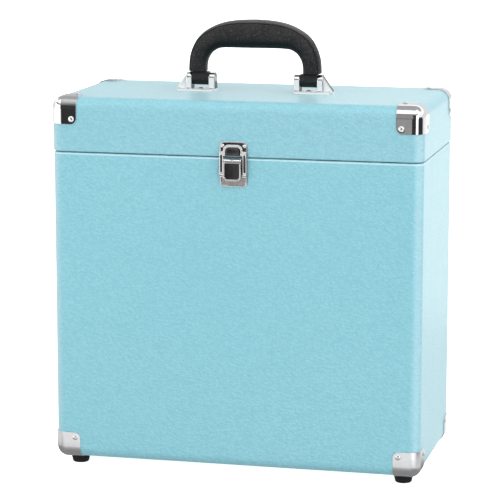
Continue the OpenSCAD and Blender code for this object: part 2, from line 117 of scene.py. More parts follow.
def bake_mods(ob):
    dg = bpy.context.evaluated_depsgraph_get()
    me = bpy.data.meshes.new_from_object(ob.evaluated_get(dg))
    old = ob.data
    ob.modifiers.clear()
    ob.data = me
    me.name = ob.name
    bpy.data.meshes.remove(old)
    return ob


def weighted(ob):
    m = ob.modifiers.new("wn", 'WEIGHTED_NORMAL')
    m.weight = 80
    m.keep_sharp = True
    return ob


def join(name, parts):
    bm = bmesh.new()
    for p in parts:
        tmp = bmesh.new()
        tmp.from_mesh(p.data)
        tmp.transform(p.matrix_world)
        m2 = bpy.data.meshes.new("t")
        tmp.to_mesh(m2)
        tmp.free()
        bm.from_mesh(m2)
        bpy.data.meshes.remove(m2)
    me = bpy.data.meshes.new(name)
    bm.to_mesh(me)
    bm.free()
    for p in parts:
        old = p.data
        bpy.data.objects.remove(p)
        if old.users == 0:
            bpy.data.meshes.remove(old)
    ob = bpy.data.objects.new(name, me)
    sc.collection.objects.link(ob)
    return ob


def tag(ob, idx, axis=None, thr=0.985):
    """Material index for the whole part, or only for the faces that look along axis (the rest get 1)."""
    if axis is None:
        ob.data.polygons.foreach_set("material_index", [idx] * len(ob.data.polygons))
    else:
        a = Vector(axis)
        ob.data.polygons.foreach_set("material_index", [idx if p.normal.dot(a) > thr else 1 for p in ob.data.polygons])
    return ob


def tag_sides(ob, idx, thr=0.8):
    """Material index for the faces that look sideways, which take painted shade; the others keep theirs."""
    n = len(ob.data.polygons)
    cur = [0] * n
    ob.data.polygons.foreach_get("material_index", cur)
    ob.data.polygons.foreach_set("material_index", [idx if abs(p.normal.x) > thr else c for p, c in zip(ob.data.polygons, cur)])
    return ob


def tag_flat(ob, flat, rest):
    """One material index for the flat faces along the axes, another for rounded edges."""
    ob.data.polygons.foreach_set("material_index", [flat if max(abs(c) for c in p.normal) > 0.985 else rest for p in ob.data.polygons])
    return ob


def area2(lp):
    return sum(lp[i][0] * lp[(i + 1) % len(lp)][1] - lp[(i + 1) % len(lp)][0] * lp[i][1] for i in range(len(lp)))


def rpoly(pts, seg=6):
    """A polygon whose corners (x, y, r) are filleted."""
    out = []
    n = len(pts)
    for i in range(n):
        P = Vector(pts[i][:2])
        r = pts[i][2] if len(pts[i]) > 2 else 0
        A = Vector(pts[i - 1][:2])
        B = Vector(pts[(i + 1) % n][:2])
        if r <= 1e-6:
            out.append((P.x, P.y))
            continue
        u = (A - P).normalized()
        v = (B - P).normalized()
        ang = u.angle(v)
        t = r / math.tan(ang / 2)
        c = P + (u + v).normalized() * (r / math.sin(ang / 2))
        s = P + u * t - c
        e = P + v * t - c
        a0 = math.atan2(s.y, s.x)
        a1 = math.atan2(e.y, e.x)
        d = (a1 - a0 + pi) % (2 * pi) - pi
        for k in range(seg + 1):
            a = a0 + d * k / seg
            out.append((c.x + r * math.cos(a), c.y + r * math.sin(a)))
    res = []
    for p in out:
        if not res or (abs(p[0] - res[-1][0]) + abs(p[1] - res[-1][1])) > 1e-5:
            res.append(p)
    if abs(res[0][0] - res[-1][0]) + abs(res[0][1] - res[-1][1]) < 1e-5:
        res.pop()
    return res


def circ(x, y, r, n=32):
    return [(x + r * math.cos(2 * pi * k / n), y + r * math.sin(2 * pi * k / n)) for k in range(n)]


def offset_loop(lp, d):
    """Move a counter-clockwise loop inwards by d (outwards if d is negative)."""
    n = len(lp)
    out = []
    for i in range(n):
        P = Vector(lp[i])
        a = (P - Vector(lp[i - 1])).normalized()
        b = (Vector(lp[(i + 1) % n]) - P).normalized()
        na = Vector((-a.y, a.x))
        nb = Vector((-b.y, b.x))
        m = na + nb
        l = m.length_squared
        if l < 1e-9:
            out.append((P.x, P.y))
            continue
        m = m * (2 / l)
        if m.length > 2.2:
            m = m.normalized() * 2.2
        out.append((P.x + m.x * d, P.y + m.y * d))
    return out


def plate(loops, t, bev, place, seg=3, bev_lo=None):
    """A pressed plate: outline and holes, thickness t along +w, edges rounded by bev."""
    if bev_lo is None:
        bev_lo = bev
    verts, faces = [], []
    bottoms, tops = [], []
    for li, lp in enumerate(loops):
        if area2(lp) < 0:
            lp = lp[::-1]
        sg = 1 if li == 0 else -1
        lev = []
        for k in range(seg + 1):
            a = pi / 2 * k / seg
            lev.append((bev_lo * (1 - math.sin(a)), bev_lo * (1 - math.cos(a))))
        for k in range(seg, -1, -1):
            a = pi / 2 * k / seg
            lev.append((bev * (1 - math.sin(a)), t - bev * (1 - math.cos(a))))
        rings = []
        for ins, h in lev:
            q = offset_loop(lp, ins * sg)
            st = len(verts)
            verts += [(p[0], p[1], h) for p in q]
            rings.append(list(range(st, st + len(q))))
        m = len(lp)
        for r0, r1 in zip(rings, rings[1:]):
            for i in range(m):
                j = (i + 1) % m
                faces.append((r0[i], r0[j], r1[j], r1[i]))
        bottoms.append(rings[0])
        tops.append(rings[-1])
    for side in (bottoms, tops):
        idx = [i for r in side for i in r]
        tris = tessellate_polygon([[Vector((verts[i][0], verts[i][1], 0)) for i in r] for r in side])
        faces += [tuple(idx[k] for k in tr) for tr in tris]
    ob = new_obj("part", [place(*v) for v in verts], faces)
    tidy(ob, 5e-7)
    return ob


def xz(y0):          # plate seen from the front, growing towards -Y
    return lambda u, v, w: (u, y0 - w, v)


def xz_back(y0):     # plate seen from the back, growing towards +Y
    return lambda u, v, w: (u, y0 + w, v)


def yz(x0):          # plate across X, growing towards +X
    return lambda u, v, w: (x0 + w, u, v)


def xy(z0):
    return lambda u, v, w: (u, v, z0 + w)


def lathe(prof, place, seg=40):
    """prof: (radius, height) pairs from one end on the axis to the other."""
    verts, rings = [], []
    for r, h in prof:
        if r < 1e-6:
            rings.append([len(verts)])
            verts.append((0, 0, h))
        else:
            st = len(verts)
            verts += [(r * math.cos(2 * pi * k / seg), r * math.sin(2 * pi * k / seg), h) for k in range(seg)]
            rings.append(list(range(st, st + seg)))
    faces = []
    for a, b in zip(rings, rings[1:]):
        if len(a) == 1 and len(b) == 1:
            continue
        for k in range(seg):
            j = (k + 1) % seg
            if len(a) == 1:
                faces.append((a[0], b[j], b[k]))
            elif len(b) == 1:
                faces.append((a[k], a[j], b[0]))
            else:
                faces.append((a[k], a[j], b[j], b[k]))
    if len(rings[0]) > 1 and len(rings[-1]) > 1 and abs(prof[0][0] - prof[-1][0]) + abs(prof[0][1] - prof[-1][1]) > 1e-6:
        pass
    ob = new_obj("part", [place(*v) for v in verts], faces)
    tidy(ob, 5e-7)
    return ob


def ax_x(x0, y, z):  # lathe axis along +X
    return lambda u, v, w: (x0 + w, y + u, z + v)


def ax_dir(origin, d):
    o = Vector(origin)
    q = Vector(d).normalized().to_track_quat('Z', 'Y')
    return lambda u, v, w: tuple(o + q @ Vector((u, v, w)))


def rod(x0, x1, y, z, r, ch=0.25, seg=32):
    L = x1 - x0
    c = min(ch, r * 0.6)
    prof = [(0, 0), (r - c, 0)] + [(r - c + c * math.sin(pi / 2 * k / 3), c - c * math.cos(pi / 2 * k / 3)) for k in range(1, 4)]
    prof += [(r - c + c * math.cos(pi / 2 * k / 3), L - c + c * math.sin(pi / 2 * k / 3)) for k in range(0, 4)] + [(0, L)]
    return lathe(prof, ax_x(x0, y, z), seg)


def tube_x(x0, x1, y, z, ri, ro, ch=0.25, seg=40):
    L = x1 - x0
    prof = [(ri, 0.15), (ri + 0.15, 0), (ro - ch, 0), (ro - ch * 0.3, ch * 0.3), (ro, ch), (ro, L - ch), (ro - ch * 0.3, L - ch * 0.3), (ro - ch, L), (ri + 0.15, L), (ri, L - 0.15), (ri, 0.15)]
    return lathe(prof, ax_x(x0, y, z), seg)


def dome(origin, d, r, h, lip=0.18, shank=None, seg=40, flat=0.0):
    """Head of a nail or rivet on the face at origin, facing d, with a short rolled edge."""
    prof = [(0, -0.9), (r * 0.55, -0.9), (r * 0.55, 0.02), (r - 0.08, 0.02), (r, 0.08), (r, lip)]
    n = 9
    hh = h - lip
    s = (r * r + hh * hh) / (2 * hh)
    th = math.asin(min(1, r / s))
    for k in range(1, n + 1):
        a = th * (1 - k / n)
        prof.append((s * math.sin(a), lip + hh - s + s * math.cos(a)))
    prof[-1] = (0, h)
    return lathe(prof, ax_dir(origin, d), seg)


def n3(p, f, off=0.0):
    return noise.noise(Vector((p[0] * f + off, p[1] * f - off, p[2] * f + 2 * off)))


# ------------------------------------------------------------------ covering shells
def base_ring(nx, ny, angs):
    """Points of the rounded rectangle as (base x, base y, normal x, normal y, corner, angle)."""
    R = []
    sides = [((CX, -CY), (CX, CY), (1, 0), ny), ((CX, CY), (-CX, CY), (0, 1), nx),
             ((-CX, CY), (-CX, -CY), (-1, 0), ny), ((-CX, -CY), (CX, -CY), (0, -1), nx)]
    a_start = [0, pi / 2, pi, -pi / 2]
    for s, (A, B, nrm, n) in enumerate(sides):
        for k in range(n + 1):
            t = k / n
            R.append((A[0] + (B[0] - A[0]) * t, A[1] + (B[1] - A[1]) * t, nrm[0], nrm[1], -1, 0.0))
        for a in angs:
            an = a_start[s] + a
            # a runs 0..90 degrees inside corner s
            R.append((B[0], B[1], math.cos(an), math.sin(an), s, a))
    return R


SEAM_A = math.radians(27)
base_angs = [math.radians(v) for v in (6, 12, 18, 23, 45, 51, 57, 64, 70, 76, 84)]
for c0 in (27, 63):
    base_angs += [math.radians(c0 + d) for d in (-2.6, -1.5, -0.8, 0, 0.8, 1.5, 2.6)]
base_angs = sorted(set(base_angs))


def seam_disp(corner, a, z):
    """Lap of the side panels over the front and back panels, on the vertical roundings."""
    if corner < 0:
        return 0.0
    # corner 0: +X +Y, 1: -X +Y, 2: -X -Y, 3: +X -Y; a from the first side to the next
    t = a if corner in (0, 2) else pi / 2 - a      # t = 0 on the X faces, 90 on the Y faces
    d = math.degrees(t - SEAM_A)
    wob = 0.5 * n3((0, 0, z), 0.03, corner * 3.1)
    d += wob
    groove = -0.16 * math.exp(-(d / 0.95) ** 2)
    lap = 0.14 * (1 - 1 / (1 + math.exp(-d / 0.45)))
    return groove + lap


def shell(name, prof, t, top, nx=46, ny=24, amp=0.09):
    """Closed skin of thickness t. prof: (d, z, nd, nz) from the middle of the flat face outwards; top: not used."""
    R = base_ring(nx, ny, base_angs)
    m = len(R)
    verts, faces = [], []

    def ring(d, z, nd, nz, out):
        st = len(verts)
        for bx, by, ux, uy, c, a in R:
            p = (bx + ux * d, by + uy * d, z)
            disp = 0.0
            if out:
                if nd > -0.5 and d > 2.5:
                    disp = amp * n3(p, 0.013, 3.7) + amp * 0.45 * n3(p, 0.045, 9.1)
                    disp += seam_disp(c, a, z) * max(0.0, nd)
                elif d <= 2.5 and nd > -0.5:
                    disp = amp * n3(p, 0.013, 3.7) + amp * 0.45 * n3(p, 0.045, 9.1)
            verts.append((p[0] + ux * nd * disp, p[1] + uy * nd * disp, p[2] + nz * disp))
        return list(range(st, st + m))

    outer = [ring(d, z, nd, nz, True) for d, z, nd, nz in prof]
    inner = [ring(d - nd * t, z - nz * t, nd, nz, False) for d, z, nd, nz in prof]
    for rings in (outer, inner):
        for r0, r1 in zip(rings, rings[1:]):
            for i in range(m):
                j = (i + 1) % m
                faces.append((r0[i], r0[j], r1[j], r1[i]))
    for i in range(m):
        j = (i + 1) % m
        faces.append((outer[-1][i], outer[-1][j], inner[-1][j], inner[-1][i]))
    # flat face: a grid over the rectangle of the edge centres
    z0, nz0 = prof[0][1], prof[0][3]
    for zz, out in ((z0, True), (z0 - nz0 * t, False)):
        st = len(verts)
        for jy in range(ny + 1):
            for ix in range(nx + 1):
                p = (-CX + 2 * CX * ix / nx, -CY + 2 * CY * jy / ny, zz)
                disp = (amp * n3(p, 0.013, 3.7) + amp * 0.45 * n3(p, 0.045, 9.1)) if out else 0
                verts.append((p[0], p[1], p[2] + nz0 * disp))
        for jy in range(ny):
            for ix in range(nx):
                a = st + jy * (nx + 1) + ix
                faces.append((a, a + 1, a + nx + 2, a + nx + 1))
    ob = new_obj(name, verts, faces)
    tidy(ob, 4e-6)
    return shade(ob, 50)


def arc(c, z, r, a0, a1, n, skip=0):
    return [(c + r * math.cos(math.radians(a0 + (a1 - a0) * k / n)), z + r * math.sin(math.radians(a0 + (a1 - a0) * k / n)),
             math.cos(math.radians(a0 + (a1 - a0) * k / n)), math.sin(math.radians(a0 + (a1 - a0) * k / n))) for k in range(skip, n + 1)]


def line(d0, z0, d1, z1, nd, nz, n):
    return [(d0 + (d1 - d0) * k / n, z0 + (z1 - z0) * k / n, nd, nz) for k in range(1, n + 1)]


ft = 0.7
p_body = arc(0, ZCB, ER, -90, 0, 14)
p_body += line(ER, ZCB, ER, BTOP - 1.5, 1, 0, 40)
p_body += arc(ER - 1.5, BTOP - 1.5, 1.5, 0, 90, 7, 1)
p_body += line(ER - 1.5, BTOP, 1.6, BTOP, 0, 1, 3)
p_body += arc(1.6, BTOP - 1.2, 1.2, 90, 180, 6, 1)
p_body += line(0.4, BTOP - 1.2, 0.4, BTOP - 12, -1, 0, 4)
cover_body = shell("body_covering", p_body, ft, False)

p_lid = arc(0, ZCL, LR, 90, 0, 16)
p_lid += line(LR, ZCL, LR, LBOT + 1.4, 1, 0, 10)
p_lid += arc(LR - 1.4, LBOT + 1.4, 1.4, 0, -90, 7, 1)
p_lid += line(LR - 1.4, LBOT, 1.6, LBOT, 0, -1, 3)
p_lid += arc(1.6, LBOT + 1.2, 1.2, -90, -180, 6, 1)
p_lid += line(0.4, LBOT + 1.2, 0.4, LBOT + 12, -1, 0, 4)
cover_lid = shell("lid_covering", p_lid, ft, True)


# ------------------------------------------------------------------ corner caps
def cap_mesh(R):
    """Pressed corner cap for +X +Y +Z, ball centre at the origin, outer radius R."""
    N, M = 14, 26
    l, r = CAPL, CAPR
    verts, faces = [], []
    S = [l * (k / M) for k in range(M + 1)]

    def grid(fn, n1, n2):
        st = len(verts)
        for i in range(n1 + 1):
            for j in range(n2 + 1):
                verts.append(fn(i, j))
        for i in range(n1):
            for j in range(n2):
                a = st + i * (n2 + 1) + j
                faces.append((a, a + 1, a + n2 + 2, a + n2 + 1))

    def q(k):
        a = pi / 2 * k / N
        return math.cos(a), math.sin(a)

    n0 = CAPL - NAIL_IN

    def fl(i, j):
        s, t = S[i], S[j]
        lim = l - r
        if s > lim and t > lim:
            a, b = (s - lim) / r, (t - lim) / r
            s, t = lim + r * a * math.sqrt(1 - b * b / 2), lim + r * b * math.sqrt(1 - a * a / 2)
        # a shallow dimple where the nail is driven home
        rho = math.hypot(s - n0, t - n0)
        k = max(0.0, min(1.0, (3.6 - rho) / 1.0))
        h = -0.04 * k * k * (3 - 2 * k)
        return s, t, h

    for ax in range(3):
        def put(c):
            c = list(c)
            return tuple(c[(k - ax) % 3] for k in range(3))
        # flange normal along axis ax
        grid(lambda i, j: put((R + fl(i, j)[2], -fl(i, j)[0], -fl(i, j)[1])), M, M)
        # quarter cylinder running along axis ax
        grid(lambda i, j: put((-S[i], R * q(j)[0], R * q(j)[1])), M, N)
    # ball corner
    idx = {}
    for i in range(N + 1):
        for j in range(N + 1 - i):
            k = N - i - j
            v = Vector((math.sin(pi / 2 * i / N), math.sin(pi / 2 * j / N), math.sin(pi / 2 * k / N)))
            v = v.normalized() * R
            idx[(i, j)] = len(verts)
            verts.append(tuple(v))
    for i in range(N):
        for j in range(N - i):
            faces.append((idx[(i, j)], idx[(i + 1, j)], idx[(i, j + 1)]))
            if i + j < N - 1:
                faces.append((idx[(i + 1, j)], idx[(i + 1, j + 1)], idx[(i, j + 1)]))
    ob = new_obj("cap", verts, faces)
    tidy(ob, 3e-6)
    # outward normals
    bm = bmesh.new()
    bm.from_mesh(ob.data)
    f = max(bm.faces, key=lambda f: f.calc_center_median().x)
    if f.normal.x < 0:
        bmesh.ops.reverse_faces(bm, faces=bm.faces)
    bm.to_mesh(ob.data)
    bm.free()
    so = ob.modifiers.new("s", 'SOLIDIFY')
    so.thickness = (CAPT - 0.05) * MM
    so.offset = -1
    so.use_even_offset = True
    be = ob.modifiers.new("b", 'BEVEL')
    be.width = 0.3 * MM
    be.segments = 3
    be.limit_method = 'ANGLE'
    be.angle_limit = math.radians(60)
    bake_mods(ob)
    return ob


def place_cap(src, name, sx, sy, zc, down):
    me = src.data.copy()
    ob = bpy.data.objects.new(name, me)
    sc.collection.objects.link(ob)
    M4 = Matrix.Translation(Vector((sx * CX, sy * CY, zc)) * MM) @ Matrix.Diagonal((sx, sy, -1 if down else 1, 1))
    me.transform(M4)
    if sx * sy * (-1 if down else 1) < 0:
        me.flip_normals()
    shade(ob, 50)
    return ob


cap_b = cap_mesh(ER + 0.05 + CAPT)
cap_l = cap_mesh(LR + 0.05 + CAPT)
CAPS = []
for sy, fn in ((-1, "front"), (1, "back")):
    for sx, ln in ((-1, "left"), (1, "right")):
        c = place_cap(cap_b, f"body_corner_{fn}_{ln}", sx, sy, ZCB, True)
        CAPS.append((c, "case_body", f"body_cap_{fn}_{ln}"))
        c = place_cap(cap_l, f"lid_corner_{fn}_{ln}", sx, sy, ZCL, False)
        CAPS.append((c, "lid", f"lid_cap_{fn}_{ln}"))
for o in (cap_b, cap_l):
    bpy.data.objects.remove(o)

nb, nl = [], []
n0 = CAPL - NAIL_IN
for sx in (-1, 1):
    for sy in (-1, 1):
        for R, zc, sz, lst in ((ER + 0.85, ZCB, -1, nb), (LR + 0.85, ZCL, 1, nl)):
            c = Vector((sx * CX, sy * CY, zc))
            lst.append(dome(c + Vector((sx * R, -sy * n0, -sz * n0)), (sx, 0, 0), 2.7, 1.2))
            lst.append(dome(c + Vector((-sx * n0, sy * R, -sz * n0)), (0, sy, 0), 2.7, 1.2))
            if sz > 0:
                lst.append(dome(c + Vector((-sx * n0, -sy * n0, R)), (0, 0, 1), 2.7, 1.2))
nails_body = shade(join("body_corner_nails", nb), 50)
nails_lid = shade(join("lid_corner_nails", nl), 50)


# ------------------------------------------------------------------ feet
def foot(name, sx, sy):
    seg = 96
    R = FOOT_R
    top = 8.95
    prof = [(2.1, 4.5), (4.0, 4.5), (4.2, 4.3), (4.2, 0.35), (4.5, 0.05), (R - 3.4, 0.0)]
    for k in range(1, 8):
        a = -pi / 2 + (pi / 2 + 0.75) * k / 7 * 0.62
        prof.append((R - 3.4 + 1.5 * math.cos(a), 1.5 + 1.5 * math.sin(a)))
    prof += [(R - 1.5, 3.2), (R - 0.95, 5.4), (R - 0.5, 7.2), (R - 0.42, 7.45), (R - 0.12, 7.6), (R - 0.02, 7.85)]
    verts, faces, rings = [], [], []

    def ztop(x, y):
        gx, gy = sx * (x + sx * FOOT_X) - CX, sy * (y + sy * FOOT_Y) - CY
        u, v = gx, gy
        inside = u > -CAPL - 0.15 and v > -CAPL - 0.15
        if inside and u < -CAPL + CAPR and v < -CAPL + CAPR:
            inside = math.hypot(u + CAPL - CAPR, v + CAPL - CAPR) < CAPR + 0.15
        return ZB - 0.95 if inside else top

    for r, h in prof:
        st = len(verts)
        for k in range(seg):
            a = 2 * pi * k / seg
            verts.append((r * math.cos(a), r * math.sin(a), h))
        rings.append(list(range(st, st + seg)))
    for r in (R, R - 0.6, R - 2.5, 4.5, 2.1):
        st = len(verts)
        for k in range(seg):
            a = 2 * pi * k / seg
            x, y = r * math.cos(a), r * math.sin(a)
            verts.append((x, y, ztop(x, y)))
        rings.append(list(range(st, st + seg)))
    rings.append(rings[0])
    for a, b in zip(rings, rings[1:]):
        for k in range(seg):
            j = (k + 1) % seg
            faces.append((a[k], a[j], b[j], b[k]))
    ob = new_obj(name, [(v[0] + sx * FOOT_X, v[1] + sy * FOOT_Y, v[2]) for v in verts], faces)
    tidy(ob)
    return shade(ob, 40)


FEET = []
for sy, fn in ((-1, "front"), (1, "back")):
    for sx, ln in ((-1, "left"), (1, "right")):
        FEET.append((foot(f"rubber_foot_{fn}_{ln}", sx, sy), f"foot_{fn}_{ln}"))

# ------------------------------------------------------------------ latch
w = 13.0
FRONT = (0, -1, 0)
base_out = rpoly([(-w, ZS - 27.3, 4.5), (w, ZS - 27.3, 4.5), (w, ZS - 0.8, 0.8), (-w, ZS - 0.8, 0.8)], 10)
parts = [tag(plate([base_out, circ(0, ZS - 10.5, 1.05, 20), circ(0, ZS - 20, 1.05, 20)], 1.0, 0.42, xz(YF - 0.05), 4), 0, FRONT)]
# rolled edge round the plate
parts.append(tag(plate([offset_loop(base_out, 0.02), offset_loop(base_out, 1.75)], 1.35, 0.8, xz(YF - 0.2), 6, bev_lo=0.1), 1))
parts.append(tag(plate([rpoly([(LA[0] - 2.15, LA[1] - 2.1, 2.05), (YF - 1.0, LA[1] - 2.1), (YF - 1.0, LA[1] + 2.1), (LA[0] - 2.15, LA[1] + 2.1, 2.05)], 8), circ(LA[0], LA[1], 0.81, 20)], 2.0, 0.12, yz(-1.0)), 1))
# the side faces take painted shade (index 2)
latch_base = weighted(shade(tag_sides(join("latch_base_plate", parts), 2), 40))

rb = [dome((0, YF - 1.05, ZS - 10.5), FRONT, 1.8, 0.75, 0.12), dome((0, YF - 1.05, ZS - 20), FRONT, 1.8, 0.75, 0.12)]
latch_rivets_b = shade(join("latch_base_rivet_heads", rb), 50)
rc = [dome((s * 10.2, YFL - 1.05, ZS + 10.6), FRONT, 1.8, 1.15, 0.15) for s in (-1, 1)]
latch_rivets_c = shade(join("latch_catch_rivet_heads", rc), 50)

catch_out = rpoly([(-w, ZS + 1, 0.8), (w, ZS + 1, 0.8), (w, ZS + 15, 4.5), (-w, ZS + 15, 4.5)], 10)
parts = [tag(plate([catch_out, circ(-10.2, ZS + 10.6, 0.95, 20), circ(10.2, ZS + 10.6, 0.95, 20)], 1.0, 0.42, xz(YFL - 0.05), 4), 0, FRONT)]
parts.append(tag(plate([offset_loop(catch_out, 0.02), offset_loop(catch_out, 1.55)], 1.3, 0.72, xz(YFL - 0.2), 6, bev_lo=0.1), 1))
nose = rpoly([(-5.9, ZS + 3.6, 0.6), (5.9, ZS + 3.6, 0.6), (5.9, ZS + 8.7, 3.1), (-5.9, ZS + 8.7, 3.1)], 8)
# painted shade: the nose takes the darkened chrome (index 0)
parts.append(tag(plate([nose], 3.75, 0.3, xz(YFL - 1.1), 4, bev_lo=0.1), 0))
# the side faces take painted shade (index 2)
latch_catch = weighted(shade(tag_sides(join("latch_catch_plate", parts), 2), 40))

# loop: two legs joined by a rounded head, with grooved rails
lz = LB[1]
loop_out = [(12.9, lz + 0.2), (12.9, ZS + 6.1, 1.5), (9.2, ZS + 6.1, 0.6), (9.2, ZS + 12.2, 5.2), (-9.2, ZS + 12.2, 5.2), (-9.2, ZS + 6.1, 0.6),
            (-12.9, ZS + 6.1, 1.5), (-12.9, lz + 0.2), (-9.0, lz + 0.2), (-9.0, ZS + 1.9, 0.8), (-7.0, ZS + 1.9, 0.5), (-7.0, ZS + 9.6, 3.5),
            (7.0, ZS + 9.6, 3.5), (7.0, ZS + 1.9, 0.5), (9.0, ZS + 1.9, 0.8), (9.0, lz + 0.2)]
lp = rpoly(loop_out, 8)
gl = [rpoly([(s * 10.95 - 0.75, lz + 3, 0.7), (s * 10.95 + 0.75, lz + 3, 0.7), (s * 10.95 + 0.75, lz + 19, 0.7), (s * 10.95 - 0.75, lz + 19, 0.7)], 5) for s in (-1, 1)]
parts = [tag(plate([lp], 0.75, 0.2, xz(YF - 2.9), 3), 2),
         tag(plate([lp] + gl, 0.7, 0.6, xz(YF - 3.6), 6, bev_lo=0.05), 0, FRONT, 0.93)]
for s in (-1, 1):
    a, b = (9.1, 12.7) if s > 0 else (-12.7, -9.1)
    parts.append(tag(tube_x(a, b, LB[0], lz, 0.96, 1.7, 0.3), 1))
# the side faces take painted shade (index 3)
latch_loop = weighted(shade(tag_sides(join("latch_draw_loop", parts), 3, 0.9), 40))


# lever: a pressed tray whose top is rolled round the pin
def lever_loop(g):
    x, z0, r = 8.4 - g, ZS - 21 + g, 4 - g
    return rpoly([(-x, z0, r), (x, z0, r), (x, LA[1]), (-x, LA[1])], 10)


parts = [tag(plate([lever_loop(0.2)], 0.8, 0.15, xz(LEVER_F + 1.7), 2), 0)]
rim_out = lever_loop(0)
rim_in = rpoly([(-6.9, ZS - 19.5, 2.6), (6.9, ZS - 19.5, 2.6), (6.9, LA[1] - 1.2, 0.5), (-6.9, LA[1] - 1.2, 0.5)], 10)
parts.append(tag(plate([rim_out, rim_in], 2.35, 0.68, xz(LEVER_F + 2.35), 6, bev_lo=0.1), 1))
for s in (-1, 1):
    x0 = -8.4 if s < 0 else 7.0
    chk = rpoly([(LEVER_F + 0.6, LB[1] - 1.7, 1.2), (LB[0] + 1.7, LB[1] - 1.7, 1.65), (LB[0] + 1.7, LB[1] + 1.7, 0.6), (YF - 2.0, LB[1] + 3.0, 0.3),
                 (LA[0] + 3.2 - 0.6, LA[1] - 3.0, 0.8), (LA[0] + 3.1, LA[1] + 3.1, 3.0), (LA[0] - 3.2, LA[1] + 3.1, 3.0)], 6)
    parts.append(tag(plate([chk, circ(LA[0], LA[1], 0.85, 20), circ(LB[0], LB[1], 0.91, 20)], 1.4, 0.25, yz(x0)), 1))
# rolled top, over two knuckles
for a, b in ((-7.0, -1.08), (1.08, 7.0)):
    arc_o = [(LA[0] + 3.0 * math.cos(t), LA[1] + 3.0 * math.sin(t)) for t in [math.radians(72 + (200 - 72) * k / 18) for k in range(19)]]
    arc_i = [(LA[0] + 2.25 * math.cos(t), LA[1] + 2.25 * math.sin(t)) for t in [math.radians(200 - (200 - 72) * k / 18) for k in range(19)]]
    parts.append(tag(tube_x(a, b, LA[0], LA[1], 0.85, 1.7, 0.15), 1))
    parts.append(tag(plate([arc_o + arc_i], b - a, 0.1, yz(a), 2), 1))
latch_lever = weighted(shade(join("latch_lever_tray", parts), 40))
pin_a = shade(rod(-8.3, 8.3, LA[0], LA[1], 0.8), 40); pin_a.name = "latch_lever_pivot"
pin_b = shade(rod(-12.9, 12.9, LB[0], LB[1], 0.9), 40); pin_b.name = "latch_loop_pivot"


# ------------------------------------------------------------------ handle brackets
def bracket(name, s):
    x0, x1 = TAB_X - TAB_W / 2 - 0.3, TAB_X + TAB_W / 2 + 0.3
    k = lambda f: (lambda u, v, w: (lambda p: (p[0] * s, p[1], p[2]))(f(u, v, w)))
    P = []
    P.append(plate([rpoly([(x0 - 6, -8.2, 1.2), (76, -8.2, 2.6), (76, 8.2, 2.6), (x0 - 6, 8.2, 1.2)], 7), circ(TAB_X, 0, 1.55, 24), circ(73, 5.9, 1.05, 20), circ(73, -5.9, 1.05, 20)],
                   2.45, 0.6, k(xy(ZT + 0.05)), 4, bev_lo=0.1))
    pu = 11.8
    ch = rpoly([(-6.6, ZT + 1.9), (6.6, ZT + 1.9), (6.25, ZT + 3.2, 3.0), (5.85, ZT + pu + 6.1, 5.75), (-5.85, ZT + pu + 6.1, 5.75), (-6.25, ZT + 3.2, 3.0)], 12)
    for a, b in ((x0 - 6, x0), (x1, x1 + 5.6)):
        P.append(plate([ch, circ(0, PIN_Z, 2.52, 32)], b - a, 1.0, k(yz(a)), 5))
    leg = rpoly([(x1 + 4.6, ZT + 1.5), (75.4, ZT + 1.5), (75.4, ZT + 3.1, 0.7), (x1 + 5.6, ZT + pu + 4.5, 1.6), (x1 + 4.6, ZT + pu + 4.5)], 6)
    P.append(plate([leg], 6.8, 0.55, k(xz(3.4)), 4))
    # painted shade: side faces and slopes take index 2, the near-black copy; flat faces take index 0, the whitened copy
    # with painted highlight
    for o in P[1:]:
        o.data.polygons.foreach_set("material_index", [2 if abs(q.normal.y) < 0.3 and q.normal.z < 0.9 else (0 if max(abs(c) for c in q.normal) > 0.985 else 1) for q in o.data.polygons])
    tag_flat(P[0], 0, 1)
    ob = weighted(shade(join(name, P), 40))
    return ob


br_l = bracket("handle_mount_left", -1)
br_r = bracket("handle_mount_right", 1)
hr = []
for s in (-1, 1):
    hr.append(dome((s * TAB_X, 0, ZT + 2.5), (0, 0, 1), 3.2, 1.2))
    for t in (-1, 1):
        hr.append(dome((s * 73, t * 5.9, ZT + 2.5), (0, 0, 1), 1.9, 1.0, 0.15))
bracket_rivets = shade(join("handle_mount_rivets", hr), 50)
x0, x1 = TAB_X - TAB_W / 2 - 6.3, TAB_X + TAB_W / 2 + 5.9
hp = {}
for s, nm in ((-1, "left"), (1, "right")):
    o = shade(rod(-x1 if s < 0 else x0, -x0 if s < 0 else x1, 0, PIN_Z, 2.5, 0.5, 40), 40)
    o.name = f"handle_pivot_{nm}"
    hp[nm] = o

# ------------------------------------------------------------------ handle
H_OUT = [(64, 18.5), (63.7, 25.8), (62.6, 33.8), (60, 41.8), (56, 49.1), (50.5, 55.1), (43.5, 59.8), (35, 63.8), (25, 66.6), (13, 68.1), (0, 68.6)]
H_IN = [(46.6, 18.5), (46.5, 24.6), (45.6, 29.4), (43.8, 33.4), (41.2, 36.8), (38, 39.2), (34.8, 40.7), (31, 41.4), (24, 41.7), (13, 41.7), (0, 41.7)]
full_o = H_OUT + [(-x, z) for x, z in H_OUT[-2::-1]]
full_i = H_IN + [(-x, z) for x, z in H_IN[-2::-1]]


def cr(pts, t):
    i = int(min(max(math.floor(t), 0), len(pts) - 2))
    f = t - i
    def g(k):
        if k < 0:
            return (2 * pts[0][0] - pts[1][0], 2 * pts[0][1] - pts[1][1])
        if k > len(pts) - 1:
            return (2 * pts[-1][0] - pts[-2][0], 2 * pts[-1][1] - pts[-2][1])
        return pts[k]
    p0, p1, p2, p3 = g(i - 1), g(i), g(i + 1), g(i + 2)
    return tuple(0.5 * ((2 * p1[k]) + (-p0[k] + p2[k]) * f + (2 * p0[k] - 5 * p1[k] + 4 * p2[k] - p3[k]) * f * f + (-p0[k] + 3 * p1[k] - 3 * p2[k] + p3[k]) * f ** 3) for k in range(2))


